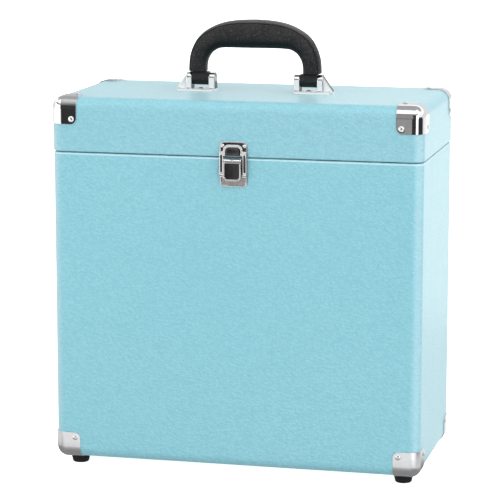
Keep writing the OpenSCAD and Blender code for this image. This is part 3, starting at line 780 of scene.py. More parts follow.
def grip():
    NR = 200
    s0 = 46.0
    angs = [360 * k / 72 for k in range(72)]
    for c in (s0, 360 - s0):
        angs += [c + d for d in (-3.4, -2.3, -1.5, -0.9, -0.4, 0.4, 0.9, 1.5, 2.3, 3.4)]
    angs = sorted(set(round(a, 3) for a in angs))
    A = len(angs)
    verts, faces, rings = [], [], []
    rows = []
    for k in range(6):                # rounded end
        th = pi / 2 * k / 5
        rows.append((0.0, 1.9 * (1 - math.sin(th)), 1.9 * (1 - math.cos(th))))
    for k in range(1, NR):
        rows.append((20.0 * k / NR, 0.0, None))
    for k in range(5, -1, -1):
        th = pi / 2 * k / 5
        rows.append((20.0, 1.9 * (1 - math.sin(th)), 1.9 * (1 - math.cos(th))))
    for t, ins, lift in rows:
        o = cr(full_o, t)
        n = cr(full_i, t)
        i = min(t, 20 - t)
        b = 8.6 + (10.5 - 8.6) * min(1, i / 7)
        cxx, czz = (o[0] + n[0]) / 2, (o[1] + n[1]) / 2
        dx, dz = (o[0] - n[0]) / 2, (o[1] - n[1]) / 2
        L = math.hypot(dx, dz)
        st = len(verts)
        for a in angs:
            ar = math.radians(a)
            ca, sa = math.cos(ar), math.sin(ar)
            p = abs(ca) ** 0.78 * (1 if ca >= 0 else -1)
            qv = abs(sa) ** 0.78 * (1 if sa >= 0 else -1)
            # seam where the top strip meets the wrapped panel
            dd = min(abs(a - s0), abs(a - (360 - s0)))
            seam = 0.42 * math.exp(-(dd / 0.95) ** 2) - 0.3 * math.exp(-((dd - 2.3) / 0.75) ** 2)
            inner = max(0.0, -ca)
            bend = math.exp(-((i - 4.2) / 1.9) ** 2)
            pucker = 0.16 * inner ** 3 * bend * math.sin(t * 17.0 + 1.4 * math.sin(t * 5))
            full = 0.25 * max(0.0, 1 - abs(ca)) if i > 6 else 0
            pos = (cxx, 0, czz)
            low = 0.14 * n3((cxx + 10 * p, 10 * qv, czz), 0.07, 1.3) + 0.05 * n3((cxx + 10 * p, 10 * qv, czz), 0.3, 4.4)
            g = seam + pucker + low
            sc_l = (L - ins + g) / L
            sc_b = (b - ins + g) / b
            x = cxx + dx * p * sc_l
            z = czz + dz * p * sc_l
            y = b * qv * sc_b
            if lift is not None:
                z += lift
            verts.append((x, y, ZT + z))
        rings.append(list(range(st, st + A)))
    for r0, r1 in zip(rings, rings[1:]):
        for i in range(A):
            j = (i + 1) % A
            faces.append((r0[i], r0[j], r1[j], r1[i]))
    faces.append(tuple(rings[0][::-1]))
    faces.append(tuple(rings[-1]))
    ob = new_obj("handle_leather_grip", verts, faces)
    tidy(ob, 1e-7)
    return shade(ob, 60)


# the first ring must not fold below the rows that follow it
grip_ob = grip()

tabs = {}
for s, nm in ((-1, "left"), (1, "right")):
    xa = TAB_X - TAB_W / 2 if s > 0 else -(TAB_X + TAB_W / 2)
    top = ZT + 18.45
    low = []
    for k in range(0, 25):
        a = -pi + pi * k / 24
        low.append((6 * math.cos(a), PIN_Z + 6 * math.sin(a)))
    outl = low + rpoly([(6, top, 0.8), (-6, top, 0.8), (0, PIN_Z + 1)], 4)[:-1]
    o = plate([outl, circ(0, PIN_Z, 2.56, 32)], TAB_W, 0.9, yz(xa), 4)
    o.name = f"handle_end_tab_{nm}"
    tabs[nm] = weighted(shade(o, 40))


# ------------------------------------------------------------------ hinges
def body_leaf(name, x):
    w = 20
    P = [plate([rpoly([(x - w, ZS - 24, 2.5), (x + w, ZS - 24, 2.5), (x + w, ZS - 3.0, 0.6), (x - w, ZS - 3.0, 0.6)], 6)] + [circ(x + d, ZS - 15, 1.4, 20) for d in (-13, 0, 13)],
               1.15, 0.3, xz_back(YB + 0.05), 3)]
    for s in (-1, 1):
        a, b = (x - w, x - 8.3) if s < 0 else (x + 8.3, x + w)
        P.append(tube_x(a, b, HINGE_Y, ZS, 1.22, 2.4, 0.25))
        P.append(plate([rpoly([(a, ZS - 5), (b, ZS - 5), (b, ZS - 0.4, 0.3), (a, ZS - 0.4, 0.3)], 3)], 1.15, 0.25, xz_back(YB + 0.05), 2))
    return weighted(shade(join(name, P), 40))


def lid_leaf(name, x):
    w = 20
    P = [plate([rpoly([(x - w, ZS + 3.0, 0.6), (x + w, ZS + 3.0, 0.6), (x + w, ZS + 21, 2.5), (x - w, ZS + 21, 2.5)], 6)] + [circ(x + d, ZS + 13, 1.4, 20) for d in (-13, 0, 13)],
               1.15, 0.3, xz_back(YBL + 0.05), 3)]
    P.append(tube_x(x - 8, x + 8, HINGE_Y, ZS, 1.27, 2.4, 0.25))
    P.append(plate([rpoly([(x - 8, ZS + 0.6, 0.3), (x + 8, ZS + 0.6, 0.3), (x + 8, ZS + 6), (x - 8, ZS + 6)], 3)], 1.15, 0.25, xz_back(YBL + 0.05), 2))
    # stop lug
    c6, s6 = math.cos(math.radians(6)), math.sin(math.radians(6))
    lug = plate([rpoly([(1.8, -0.8), (4.84, -0.8, 0.3), (4.84, 0.8, 0.3), (1.8, 0.8)], 3)], 10, 0.2,
                lambda u, v, w: (x - 5 + w, HINGE_Y + u * c6 - v * s6, ZS + u * s6 + v * c6), 2)
    P.append(lug)
    return weighted(shade(join(name, P), 40))


hinge = {}
for s, nm in ((-1, "left"), (1, "right")):
    hinge["b" + nm] = body_leaf(f"hinge_lower_{nm}", s * HINGE_X)
    hinge["l" + nm] = lid_leaf(f"hinge_upper_{nm}", s * HINGE_X)
    o = shade(rod(s * HINGE_X - 20.4, s * HINGE_X + 20.4, HINGE_Y, ZS, 1.2, 0.3), 40)
    o.name = f"hinge_pintle_{nm}"
    hinge["p" + nm] = o
hb = [dome((s * HINGE_X + d, YB + 1.2, ZS - 15), (0, 1, 0), 2.3, 0.95, 0.14) for s in (-1, 1) for d in (-13, 0, 13)]
hl = [dome((s * HINGE_X + d, YBL + 1.2, ZS + 13), (0, 1, 0), 2.3, 0.95, 0.14) for s in (-1, 1) for d in (-13, 0, 13)]
hinge_rb = shade(join("hinge_lower_rivets", hb), 50)
hinge_rl = shade(join("hinge_upper_rivets", hl), 50)

# ------------------------------------------------------------------ locating lip and linings
HX, HY = 165.4, 73.4


def rect_sweep(name, prof, nx=60, ny=30, amp=0.0, seed=0.0, corner=0.6):
    """A closed section (inset from HX/HY, z) carried round the inside of the case."""
    verts, rings, faces = [], [], []
    pts = []
    for s, (A, B, n) in enumerate((((1, -1), (1, 1), ny), ((1, 1), (-1, 1), nx), ((-1, 1), (-1, -1), ny), ((-1, -1), (1, -1), nx))):
        for k in range(n):
            t = k / n
            pts.append((A[0] + (B[0] - A[0]) * t, A[1] + (B[1] - A[1]) * t, s))
    for ins, z in prof:
        st = len(verts)
        for u, v, s in pts:
            x, y = u * (HX - ins), v * (HY - ins)
            d = amp * n3((x, y, z), 0.03, seed)
            if s in (0, 2):
                x += d
            else:
                y += d
            verts.append((x, y, z))
        rings.append(list(range(st, st + len(pts))))
    m = len(pts)
    for i in range(len(rings)):
        r0, r1 = rings[i], rings[(i + 1) % len(rings)]
        for a in range(m):
            b = (a + 1) % m
            faces.append((r0[a], r0[b], r1[b], r1[a]))
    ob = new_obj(name, verts, faces)
    tidy(ob)
    return shade(ob, 35)


lip_prof = [(0.02, BTOP - 26), (0.02, BTOP - 0.3), (0.62, BTOP + 0.1), (0.62, BTOP + 5.2)]
lip_prof += [(0.62 + 1.15 * (1 - math.cos(a)), BTOP + 5.3 + 1.15 * math.sin(a)) for a in [pi / 2 * k / 4 for k in range(1, 5)]]
lip_prof += [(2.98 - 1.15 * (1 - math.sin(a)), BTOP + 5.3 + 1.15 * math.cos(a)) for a in [pi / 2 * k / 4 for k in range(1, 5)]]
lip_prof += [(2.98, BTOP - 25.4), (2.4, BTOP - 26)]
lip = rect_sweep("locating_frame", lip_prof, amp=0.0)


# ------------------------------------------------------------------ materials
class NT:
    """Small helper round a material's or a world's node tree."""

    def __init__(self, tree):
        self.t = tree

    def n(self, kind, **kw):
        nd = self.t.nodes.new(kind)
        for k, v in kw.items():
            if k.startswith("i_"):
                nd.inputs[k[2:].replace("_", " ")].default_value = v
            else:
                setattr(nd, k, v)
        return nd

    def l(self, a, b):
        self.t.links.new(a, b)

    def math(self, op, a, b=None, c=None):
        nd = self.t.nodes.new('ShaderNodeMath')
        nd.operation = op
        for i, v in enumerate((a, b, c)):
            if v is None:
                continue
            if isinstance(v, (int, float)):
                nd.inputs[i].default_value = v
            else:
                self.l(v, nd.inputs[i])
        return nd.outputs[0]

    def rng(self, v, a, b, c=0.0, d=1.0, smooth=False):
        nd = self.t.nodes.new('ShaderNodeMapRange')
        nd.interpolation_type = 'SMOOTHSTEP' if smooth else 'LINEAR'
        nd.clamp = True
        self.l(v, nd.inputs[0])
        for i, q in enumerate((a, b, c, d)):
            nd.inputs[i + 1].default_value = q
        return nd.outputs[0]

    def mixc(self, f, a, b, mode='MIX'):
        nd = self.t.nodes.new('ShaderNodeMix')
        nd.data_type = 'RGBA'
        nd.blend_type = mode
        for s, v in ((nd.inputs[0], f), (nd.inputs[6], a), (nd.inputs[7], b)):
            if isinstance(v, (int, float)):
                s.default_value = v
            elif isinstance(v, tuple):
                s.default_value = v if len(v) == 4 else v + (1.0,)
            else:
                self.l(v, s)
        return nd.outputs[2]

    def noise(self, vec, scale, detail=2.0, rough=0.5, dist=0.0):
        nd = self.n('ShaderNodeTexNoise')
        nd.inputs["Scale"].default_value = scale
        nd.inputs["Detail"].default_value = detail
        nd.inputs["Roughness"].default_value = rough
        nd.inputs["Distortion"].default_value = dist
        self.l(vec, nd.inputs["Vector"])
        return nd.outputs["Fac"]

    def voro(self, vec, scale, feature='F1', smooth=0.6, rnd=1.0):
        nd = self.n('ShaderNodeTexVoronoi')
        nd.feature = feature
        nd.inputs["Scale"].default_value = scale
        nd.inputs["Randomness"].default_value = rnd
        if feature == 'SMOOTH_F1':
            nd.inputs["Smoothness"].default_value = smooth
        self.l(vec, nd.inputs["Vector"])
        return nd.outputs["Distance"]

    def mapping(self, vec, scale=(1, 1, 1), rot=(0, 0, 0)):
        nd = self.n('ShaderNodeMapping')
        nd.inputs["Scale"].default_value = scale
        nd.inputs["Rotation"].default_value = rot
        self.l(vec, nd.inputs["Vector"])
        return nd.outputs[0]

    def bump(self, height, strength, dist, normal=None):
        nd = self.n('ShaderNodeBump')
        nd.inputs["Strength"].default_value = strength
        nd.inputs["Distance"].default_value = dist
        self.l(height, nd.inputs["Height"])
        if normal is not None:
            self.l(normal, nd.inputs["Normal"])
        return nd.outputs[0]


def material(name):
    m = bpy.data.materials.new(name)
    m.use_nodes = True
    k = NT(m.node_tree)
    b = m.node_tree.nodes["Principled BSDF"]
    co = k.n('ShaderNodeTexCoord').outputs["Object"]
    return m, k, b, co


def srgb(r, g, b):
    f = lambda c: ((c / 255 + 0.055) / 1.055) ** 2.4 if c / 255 > 0.04045 else c / 255 / 12.92
    return (f(r), f(g), f(b), 1.0)


def leatherette(name, main, deep, light, cell=0.95, rough=(0.36, 0.50), bump=0.5, edge=None):
    m, k, b, co = material(name)
    warp = k.noise(co, 90, 2, 0.5)
    peb = k.voro(co, 1000 / cell, 'F1')
    wv = k.n('ShaderNodeVectorMath')
    wv.operation = 'ADD'
    k.l(k.mapping(co, (0.8, 0.8, 1.15), (0.4, 0.7, 0.2)), wv.inputs[0])
    wn = k.n('ShaderNodeVectorMath')
    wn.operation = 'SCALE'
    nz = k.n('ShaderNodeTexNoise')
    k.l(co, nz.inputs['Vector'])
    nz.inputs['Scale'].default_value = 260
    k.l(nz.outputs['Color'], wn.inputs[0])
    wn.inputs['Scale'].default_value = 0.0016
    k.l(wn.outputs[0], wv.inputs[1])
    peb2 = k.voro(wv.outputs[0], 1000 / (cell * 3.1), 'F1')
    fine = k.noise(co, 3200, 2, 0.6)
    big = k.noise(co, 7, 3, 0.5)
    mid = k.noise(co, 60, 4, 0.55)
    crinkle = k.noise(k.mapping(co, (1.0, 1.0, 1.35)), 330, 3, 0.6, 0.9)
    crease = k.noise(k.mapping(co, (1.0, 1.0, 1.5), (0.3, 0.2, 0.5)), 150, 2, 0.5, 1.4)
    h = k.math('ADD', k.math('MULTIPLY', k.rng(peb, 0.05, 0.75, 1, 0, True), 1.15), k.math('MULTIPLY', k.rng(peb2, 0.1, 0.75, 1, 0, True), 1.9))
    h = k.math('ADD', h, k.math('MULTIPLY', fine, 0.15))
    h = k.math('ADD', h, k.math('MULTIPLY', warp, 0.3))
    h = k.math('ADD', h, k.math('MULTIPLY', k.rng(crinkle, 0.3, 0.7, 0, 1), CRK))
    h = k.math('ADD', h, k.math('MULTIPLY', k.rng(crease, 0.3, 0.7, 0, 1), CRS))
    c = k.mixc(k.rng(big, 0.3, 0.7, 0, 0.6), main, light)
    c = k.mixc(k.rng(mid, 0.35, 0.75, 0, 0.22), c, deep)
    c = k.mixc(k.math('MULTIPLY', k.rng(peb, 0.30, 0.75, 0, 1, True), 0.60), c, deep)
    # dye sits deeper in the hollows
    c = k.mixc(k.math('MULTIPLY', k.rng(peb2, 0.42, 0.78, 0, 1, True), 0.54), c, deep)
    c = k.mixc(k.math('MULTIPLY', k.rng(peb2, 0.30, 0.10, 0, 1, True), 0.45), c, light)
    c = k.mixc(k.math('MULTIPLY', k.rng(crinkle, 0.50, 0.28, 0, 1, True), 0.55), c, deep)
    c = k.mixc(k.math('MULTIPLY', k.rng(crease, 0.48, 0.30, 0, 1, True), 0.40), c, deep)
    # painted highlight: a lighter colour on the upright corner roundings, where they catch the light
    sn = k.n('ShaderNodeSeparateXYZ')
    k.l(k.n('ShaderNodeTexCoord').outputs["Normal"], sn.inputs[0])
    nx2, ny2 = k.math('MULTIPLY', sn.outputs[0], sn.outputs[0]), k.math('MULTIPLY', sn.outputs[1], sn.outputs[1])
    c = k.mixc(k.math('MULTIPLY', k.math('MULTIPLY', nx2, ny2), 4 * 0.25), c, (0.62, 0.76, 0.83, 1))
    if edge:
        # painted highlight: a lighter band along the turned top edge, where it catches the light under the seam
        sz = k.n('ShaderNodeSeparateXYZ')
        k.l(co, sz.inputs[0])
        z = k.math('ADD', sz.outputs[2], k.math('MULTIPLY', k.math('SUBTRACT', mid, 0.5), 0.0008))
        f = k.math('MULTIPLY', k.rng(z, (edge - 2.3) / 1000, (edge - 1.5) / 1000, 0, 1, True), k.rng(z, (edge - 0.9) / 1000, (edge - 0.3) / 1000, 1, 0, True))
        c = k.mixc(k.math('MULTIPLY', f, 0.36), c, (0.80, 0.92, 0.94, 1))
    k.l(c, b.inputs["Base Color"])
    r = k.rng(k.math('ADD', k.math('MULTIPLY', mid, 0.5), k.math('MULTIPLY', peb, 0.5)), 0.2, 0.7, rough[0], rough[1])
    k.l(r, b.inputs["Roughness"])
    k.l(k.bump(h, bump, 0.00034), b.inputs["Normal"])
    b.inputs["IOR"].default_value = 1.5
    b.inputs["Sheen Weight"].default_value = 0.40
    b.inputs["Sheen Roughness"].default_value = 0.35
    b.inputs["Sheen Tint"].default_value = (0.84, 0.98, 1.0, 1)
    b.inputs["Coat Weight"].default_value = 0.70
    b.inputs["Coat Roughness"].default_value = 0.30
    b.inputs["Coat IOR"].default_value = 1.5
    return m, b


CRK, CRS = 1.3, 1.6
M_BODY, _ = leatherette("aqua_leatherette_body", (0.215, 0.496, 0.574, 1), (0.160, 0.424, 0.502, 1), (0.248, 0.530, 0.606, 1), edge=BTOP)
M_LID, _ = leatherette("aqua_leatherette_lid", (0.228, 0.494, 0.571, 1), (0.172, 0.424, 0.500, 1), (0.262, 0.530, 0.605, 1))


def chrome(name, base=(0.83, 0.84, 0.86, 1), r0=0.05, r1=0.11, wav=0.25, brushed=0.0, spot=0.10, metal=1.0):
    m, k, b, co = material(name)
    big = k.noise(co, 90, 2, 0.5)
    fine = k.noise(co, 1400, 3, 0.6)
    scr = k.noise(k.mapping(co, (60, 60, 2600), (0.5, 0.3, 0.2)), 1.0, 2, 0.6)
    spots = k.rng(k.noise(co, 420, 4, 0.7), 0.66, 0.8, 0, 1, True)
    k.l(k.mixc(k.rng(k.noise(co, 160, 3, 0.6), 0.35, 0.8, 0, 0.35), base, (base[0] * 0.72, base[1] * 0.72, base[2] * 0.74, 1)), b.inputs["Base Color"])
    b.inputs["Metallic"].default_value = metal
    r = k.math('ADD', k.rng(fine, 0.3, 0.7, r0, r1), k.math('MULTIPLY', spots, spot))
    k.l(r, b.inputs["Roughness"])
    h = k.math('ADD', k.math('MULTIPLY', big, 1.0), k.math('MULTIPLY', scr, 0.02 + brushed))
    k.l(k.bump(h, wav, 0.00035), b.inputs["Normal"])
    return m


M_CHROME = chrome("polished_chrome", (0.87, 0.875, 0.885, 1), 0.045, 0.08, 0.09, 0.0, 0.05)
M_LATCH = chrome("latch_chrome", (0.90, 0.90, 0.91, 1), 0.06, 0.11, 0.08, 0.0, 0.05)
M_SATIN = chrome("satin_nickel", (0.76, 0.71, 0.69, 1), 0.24, 0.32, 0.12, 0.05, 0.1, 0.85)
# painted highlight: a half-diffuse light base brightens the loop's front faces, which as chrome would reflect dark
M_RAIL = chrome("nickel_rails_painted_highlight", (0.92, 0.90, 0.89, 1), 0.18, 0.26, 0.10, 0.03, 0.05, 0.55)
# painted highlight: a mostly diffuse white base, so the mount fronts show white as if blown out by the light
M_BRACKET = chrome("nickel_mount_painted_highlight", (0.95, 0.95, 0.95, 1), 0.16, 0.24, 0.06, 0.0, 0.05, 0.35)
# painted shade: a chrome copy with its base darkened, so the lever tray, catch front, nose and the loop's back layer
# read dark
M_DARK = chrome("chrome_darkened_painted_shade", (0.34, 0.33, 0.33, 1), 0.07, 0.13, 0.12, 0.0, 0.08)
M_NAIL = chrome("nail_heads", (0.90, 0.90, 0.90, 1), 0.08, 0.14, 0.05, 0.0, 0.05, 0.85)
# painted shade: a near-black copy of the chrome for the side faces and slopes of the latch and handle mounts
M_SHADE = chrome("painted_shade_sides", (0.055, 0.053, 0.052, 1), 0.16, 0.28, 0.12, 0.0, 0.08)
M_STEEL = chrome("zinc_steel", (0.56, 0.57, 0.58, 1), 0.22, 0.36, 0.2, 0.08)


def black_leather(name, base, hi, cell=0.9, r=(0.34, 0.5), bump=0.5, dist=0.00025, spec=0.32, speck=0.5):
    m, k, b, co = material(name)
    peb = k.voro(co, 1000 / cell, 'F1')
    fine = k.noise(co, 2600, 3, 0.6)
    crease = k.noise(co, 300, 4, 0.6, 0.8)
    mid = k.noise(co, 70, 3, 0.55)
    h = k.math('ADD', k.math('MULTIPLY', k.rng(peb, 0.05, 0.7, 1, 0, True), 0.7), k.math('MULTIPLY', fine, 0.25))
    h = k.math('ADD', h, k.math('MULTIPLY', k.rng(crease, 0.35, 0.6, 0, 1), 0.45))
    c = k.mixc(k.rng(mid, 0.35, 0.7, 0, 0.7), base, hi)
    c = k.mixc(k.math('MULTIPLY', k.rng(peb, 0.3, 0.8, 0, 1), 0.5), c, (base[0] * 0.4, base[1] * 0.4, base[2] * 0.4, 1))
    sp = k.math('MULTIPLY', k.rng(k.noise(co, 620, 3, 0.65), 0.53, 0.66, 0, 1, True), k.rng(peb, 0.1, 0.45, 1, 0.2))
    c = k.mixc(k.math('MULTIPLY', sp, speck), c, (0.22, 0.218, 0.216, 1))
    # painted light: lighter on the faces that look up, painted shade darkening the faces that look down
    sn = k.n('ShaderNodeSeparateXYZ')
    k.l(k.n('ShaderNodeTexCoord').outputs["Normal"], sn.inputs[0])
    c = k.mixc(k.math('MULTIPLY', k.math('SUBTRACT', 1.0, k.rng(sn.outputs[2], -0.45, 0.16, 0, 1, True)), 0.93), c, (0.003, 0.003, 0.003, 1))
    c = k.mixc(k.math('MULTIPLY', k.rng(sn.outputs[2], 0.45, 0.95, 0, 1, True), 0.21 if speck > 0.3 else 0.05), c, (0.30, 0.30, 0.30, 1))
    k.l(c, b.inputs["Base Color"])
    k.l(k.rng(k.math('ADD', fine, mid), 0.7, 1.3, r[0], r[1]), b.inputs["Roughness"])
    b.inputs["Specular IOR Level"].default_value = spec
    k.l(k.bump(h, bump, dist), b.inputs["Normal"])
    return m


M_GRIP = black_leather("black_grained_leather", (0.019, 0.019, 0.019, 1), (0.036, 0.035, 0.035, 1), 1.15, (0.32, 0.46), 1.0, 0.0006, 0.22, 0.55)
M_TAB = black_leather("black_tab_leather", (0.016, 0.016, 0.016, 1), (0.03, 0.03, 0.03, 1), 0.6, (0.3, 0.42), 0.35, 0.00018, 0.32, 0.2)
M_LIP = black_leather("black_paper_covering", (0.020, 0.020, 0.022, 1), (0.032, 0.032, 0.034, 1), 0.7, (0.5, 0.65), 0.4, 0.00018, 0.4, 0.1)


def rubber():
    m, k, b, co = material("black_rubber")
    fine = k.noise(co, 1800, 4, 0.65)
    mid = k.noise(co, 200, 3, 0.6)
    dust = k.rng(k.noise(co, 500, 5, 0.7), 0.55, 0.75, 0, 0.35, True)
    c = k.mixc(k.rng(mid, 0.3, 0.7, 0, 1), (0.006, 0.006, 0.006, 1), (0.012, 0.0115, 0.0115, 1))
    k.l(k.mixc(dust, c, (0.03, 0.029, 0.028, 1)), b.inputs["Base Color"])
    b.inputs["Specular IOR Level"].default_value = 0.35
    k.l(k.rng(fine, 0.3, 0.7, 0.5, 0.7), b.inputs["Roughness"])
    k.l(k.bump(k.math('ADD', fine, k.math('MULTIPLY', mid, 0.6)), 0.35, 0.0002), b.inputs["Normal"])
    return m


M_RUBBER = rubber()


def wood():
    m, k, b, co = material("poplar_ply")
    g = k.mapping(co, (9, 60, 60))
    band = k.noise(g, 6, 5, 0.6, 1.2)
    fib = k.noise(k.mapping(co, (60, 900, 900)), 1, 3, 0.6)
    c = k.mixc(k.rng(band, 0.3, 0.7, 0, 1), (0.62, 0.45, 0.28, 1), (0.44, 0.29, 0.16, 1))
    c = k.mixc(k.rng(fib, 0.4, 0.8, 0, 0.6), c, (0.30, 0.19, 0.10, 1))
    k.l(c, b.inputs["Base Color"])
    k.l(k.rng(fib, 0.3, 0.7, 0.55, 0.75), b.inputs["Roughness"])
    k.l(k.bump(k.math('ADD', band, fib), 0.3, 0.0003), b.inputs["Normal"])
    return m


M_WOOD = wood()


def felt():
    m, k, b, co = material("black_flock_lining")
    fib = k.noise(co, 2200, 5, 0.75)
    fib2 = k.noise(k.mapping(co, (1, 3, 1), (0.3, 0.4, 0.9)), 900, 4, 0.7, 1.5)
    mid = k.noise(co, 30, 4, 0.6)
    c = k.mixc(k.rng(fib, 0.35, 0.7, 0, 1), (0.011, 0.011, 0.013, 1), (0.035, 0.035, 0.039, 1))
    c = k.mixc(k.rng(mid, 0.35, 0.7, 0, 0.4), c, (0.045, 0.045, 0.05, 1))
    k.l(c, b.inputs["Base Color"])
    b.inputs["Roughness"].default_value = 0.92
    b.inputs["Sheen Weight"].default_value = 0.25
    b.inputs["Sheen Roughness"].default_value = 0.5
    k.l(k.bump(k.math('ADD', fib, k.math('MULTIPLY', fib2, 0.7)), 0.7, 0.0004), b.inputs["Normal"])
    return m


M_FELT = felt()


def put(ob, mats):
    for m in (mats if isinstance(mats, (list, tuple)) else [mats]):
        ob.data.materials.append(m)


def piece(ob, body, mat, slot, *nodes):
    put(ob, mat)
    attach(ob, body)
    if nodes:
        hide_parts(*nodes)


piece(cover_body, "case_body", M_BODY, "leatherette", "body_cover")
piece(cover_lid, "lid", M_LID, "leatherette", "lid_cover")
for o, body, node in CAPS:
    piece(o, body, M_CHROME, "chrome", node)
    weighted(o)
piece(nails_body, "case_body", M_NAIL, "chrome", "body_cap_nails")
piece(nails_lid, "lid", M_NAIL, "chrome", "lid_cap_nails")
for o, node in FEET:
    piece(o, "case_body", M_RUBBER, "rubber", node)
piece(latch_base, "case_body", [M_SATIN, M_LATCH, M_SHADE], "chrome", "latch_base")
piece(latch_rivets_b, "case_body", M_NAIL, "chrome", "latch_base_rivets")
piece(latch_catch, "lid", [M_DARK, M_LATCH, M_SHADE], "chrome", "latch_catch")
piece(latch_rivets_c, "lid", M_NAIL, "chrome", "latch_catch_rivets")
piece(latch_loop, "latch_loop", [M_RAIL, M_LATCH, M_DARK, M_SHADE], "chrome", "latch_loop")
piece(latch_lever, "latch_lever", [M_DARK, M_LATCH], "chrome", "latch_lever")
piece(pin_a, "case_body", M_STEEL, "steel", "latch_lever_pin")
piece(pin_b, "latch_lever", M_STEEL, "steel", "latch_loop_pin")
piece(br_l, "lid", [M_BRACKET, M_CHROME, M_SHADE], "chrome", "handle_bracket_left")
piece(br_r, "lid", [M_BRACKET, M_CHROME, M_SHADE], "chrome", "handle_bracket_right")
piece(bracket_rivets, "lid", M_NAIL, "chrome", "handle_bracket_rivets")
piece(hp["left"], "lid", M_STEEL, "steel", "handle_pin_left")
piece(hp["right"], "lid", M_STEEL, "steel", "handle_pin_right")
piece(grip_ob, "handle", M_GRIP, "grip", "handle_grip")
piece(tabs["left"], "handle", M_TAB, "grip", "handle_tab_left")
piece(tabs["right"], "handle", M_TAB, "grip", "handle_tab_right")
for nm in ("left", "right"):
    piece(hinge["b" + nm], "case_body", M_CHROME, "chrome", f"hinge_body_leaf_{nm}")
    piece(hinge["l" + nm], "lid", M_CHROME, "chrome", f"hinge_lid_leaf_{nm}")
    piece(hinge["p" + nm], "case_body", M_STEEL, "steel", f"hinge_pin_{nm}")
piece(hinge_rb, "case_body", M_NAIL, "chrome", "hinge_body_rivets")
piece(hinge_rl, "lid", M_NAIL, "chrome", "hinge_lid_rivets")
piece(lip, "case_body", M_LIP, "lining", "locating_lip")


def dress(node, mat, bevel=0.0):
    o = NODES[node]
    while len(o.data.materials) < 1:
        o.data.materials.append(mat)
    for i in range(len(o.data.materials)):
        o.data.materials[i] = mat
    for s in o.material_slots:
        s.material = mat


for n in ("front_board", "back_board", "left_board", "right_board", "bottom_board", "lid_top_board", "lid_front_rail", "lid_back_rail", "lid_left_rail", "lid_right_rail"):
    dress(n, M_WOOD)
for n in ("body_lining", "lid_lining"):
    dress(n, M_FELT)
for n in ("foot_screws", "handle_core"):
    dress(n, M_STEEL)

# ------------------------------------------------------------------ light
wd = bpy.data.worlds.new("studio")
sc.world = wd
wd.use_nodes = True
K = NT(wd.node_tree)
bg = wd.node_tree.nodes["Background"]
vec = K.n('ShaderNodeTexCoord').outputs["Generated"]
sep = K.n('ShaderNodeSeparateXYZ')
K.l(vec, sep.inputs[0])
X, Y, Z = sep.outputs
lpth = K.n('ShaderNodeLightPath')
ENV0, ENV_R, ENV_T, ENV_B, ENV_F = 0.58, 0.64, 0.40, 0.28, 1.15


def band(v, a, b, soft):
    return K.math('MULTIPLY', K.rng(v, a - soft, a + soft, 0, 1, True), K.rng(v, b - soft, b + soft, 1, 0, True))


# soft room: a broad front fill, brighter on the right
env = K.math('ADD', ENV0, K.math('MULTIPLY', K.rng(X, 0.0, 0.65, 0, 1, True), ENV_R))
env = K.math('ADD', env, K.math('MULTIPLY', K.rng(Z, 0.35, 0.9, 0, 1, True), ENV_T))
env = K.math('ADD', env, K.math('MULTIPLY', K.rng(X, -0.95, -0.45, 1, 0, True), 0.25))
env = K.math('ADD', env, K.math('MULTIPLY', K.rng(Y, 0.2, 0.8, 0, 1, True), ENV_B))
env = K.math('ADD', env, K.math('MULTIPLY', K.rng(Y, -0.85, -0.15, 1, 0, True), ENV_F))


# for reflections only: light cards with dark flags between them
def band_(k, v, a, b, soft):
    return k.math('MULTIPLY', k.rng(v, a - soft, a + soft, 0, 1, True), k.rng(v, b - soft, b + soft, 1, 0, True))


def blend_(k, v, w, target):
    """v moved towards target by weight w."""
    return k.math('ADD', k.math('MULTIPLY', v, k.math('SUBTRACT', 1.0, w)), k.math('MULTIPLY', w, target))


# low in front, by direction from left to right
lowf = K.math('ADD', 0.30, K.math('MULTIPLY', K.rng(X, -0.48, -0.42, 1, 0, True), 0.95))
lowf = blend_(K, lowf, band_(K, X, -0.42, -0.26, 0.02), 0.04)
lowf = blend_(K, lowf, band_(K, X, 0.00, 0.46, 0.03), 0.05)
lowf = blend_(K, lowf, band_(K, X, 0.50, 0.77, 0.02), 2.0)
lowf = blend_(K, lowf, K.rng(X, 0.79, 0.83, 0, 1, True), 0.05)
# higher in front: a dark line, a wide light card, then grey overhead
vz = blend_(K, lowf, K.rng(Z, 0.40, 0.46, 0, 1, True), 0.30)
vz = blend_(K, vz, band_(K, Z, 0.50, 0.55, 0.012), 0.04)
card = blend_(K, K.math('ADD', 1.25, 0.0), band_(K, X, -0.44, -0.275, 0.02), K.rng(Z, 0.57, 0.95, 0.22, 0.75))
vz = blend_(K, vz, band_(K, Z, 0.57, 0.955, 0.015), card)
vz = blend_(K, vz, K.rng(Z, 0.955, 0.985, 0, 1, True), 0.45)
# behind: backdrop below, grey ceiling above
vb = K.math('ADD', 0.80, K.math('MULTIPLY', K.rng(Z, 0.22, 0.45, 0, 1, True), 0.45))
vb = blend_(K, vb, band_(K, X, -0.62, -0.26, 0.04), 0.55)
vb = blend_(K, vb, K.rng(Z, 0.60, 0.72, 0, 1, True), 0.42)
fr = K.rng(Y, -0.10, 0.15, 1, 0, True)
env_g = K.math('ADD', K.math('MULTIPLY', vz, fr), K.math('MULTIPLY', vb, K.math('SUBTRACT', 1.0, fr)))
gl = lpth.outputs["Is Glossy Ray"]
mixv = K.n('ShaderNodeMix')
mixv.data_type = 'FLOAT'
K.l(gl, mixv.inputs[0])
K.l(env, mixv.inputs[2])
K.l(env_g, mixv.inputs[3])
mixc = K.n('ShaderNodeMix')
mixc.data_type = 'FLOAT'
K.l(lpth.outputs["Is Camera Ray"], mixc.inputs[0])
K.l(mixv.outputs[0], mixc.inputs[2])
mixc.inputs[3].default_value = 1.0
K.l(mixc.outputs[0], bg.inputs["Strength"])
bg.inputs["Color"].default_value = (1, 1, 1, 1)


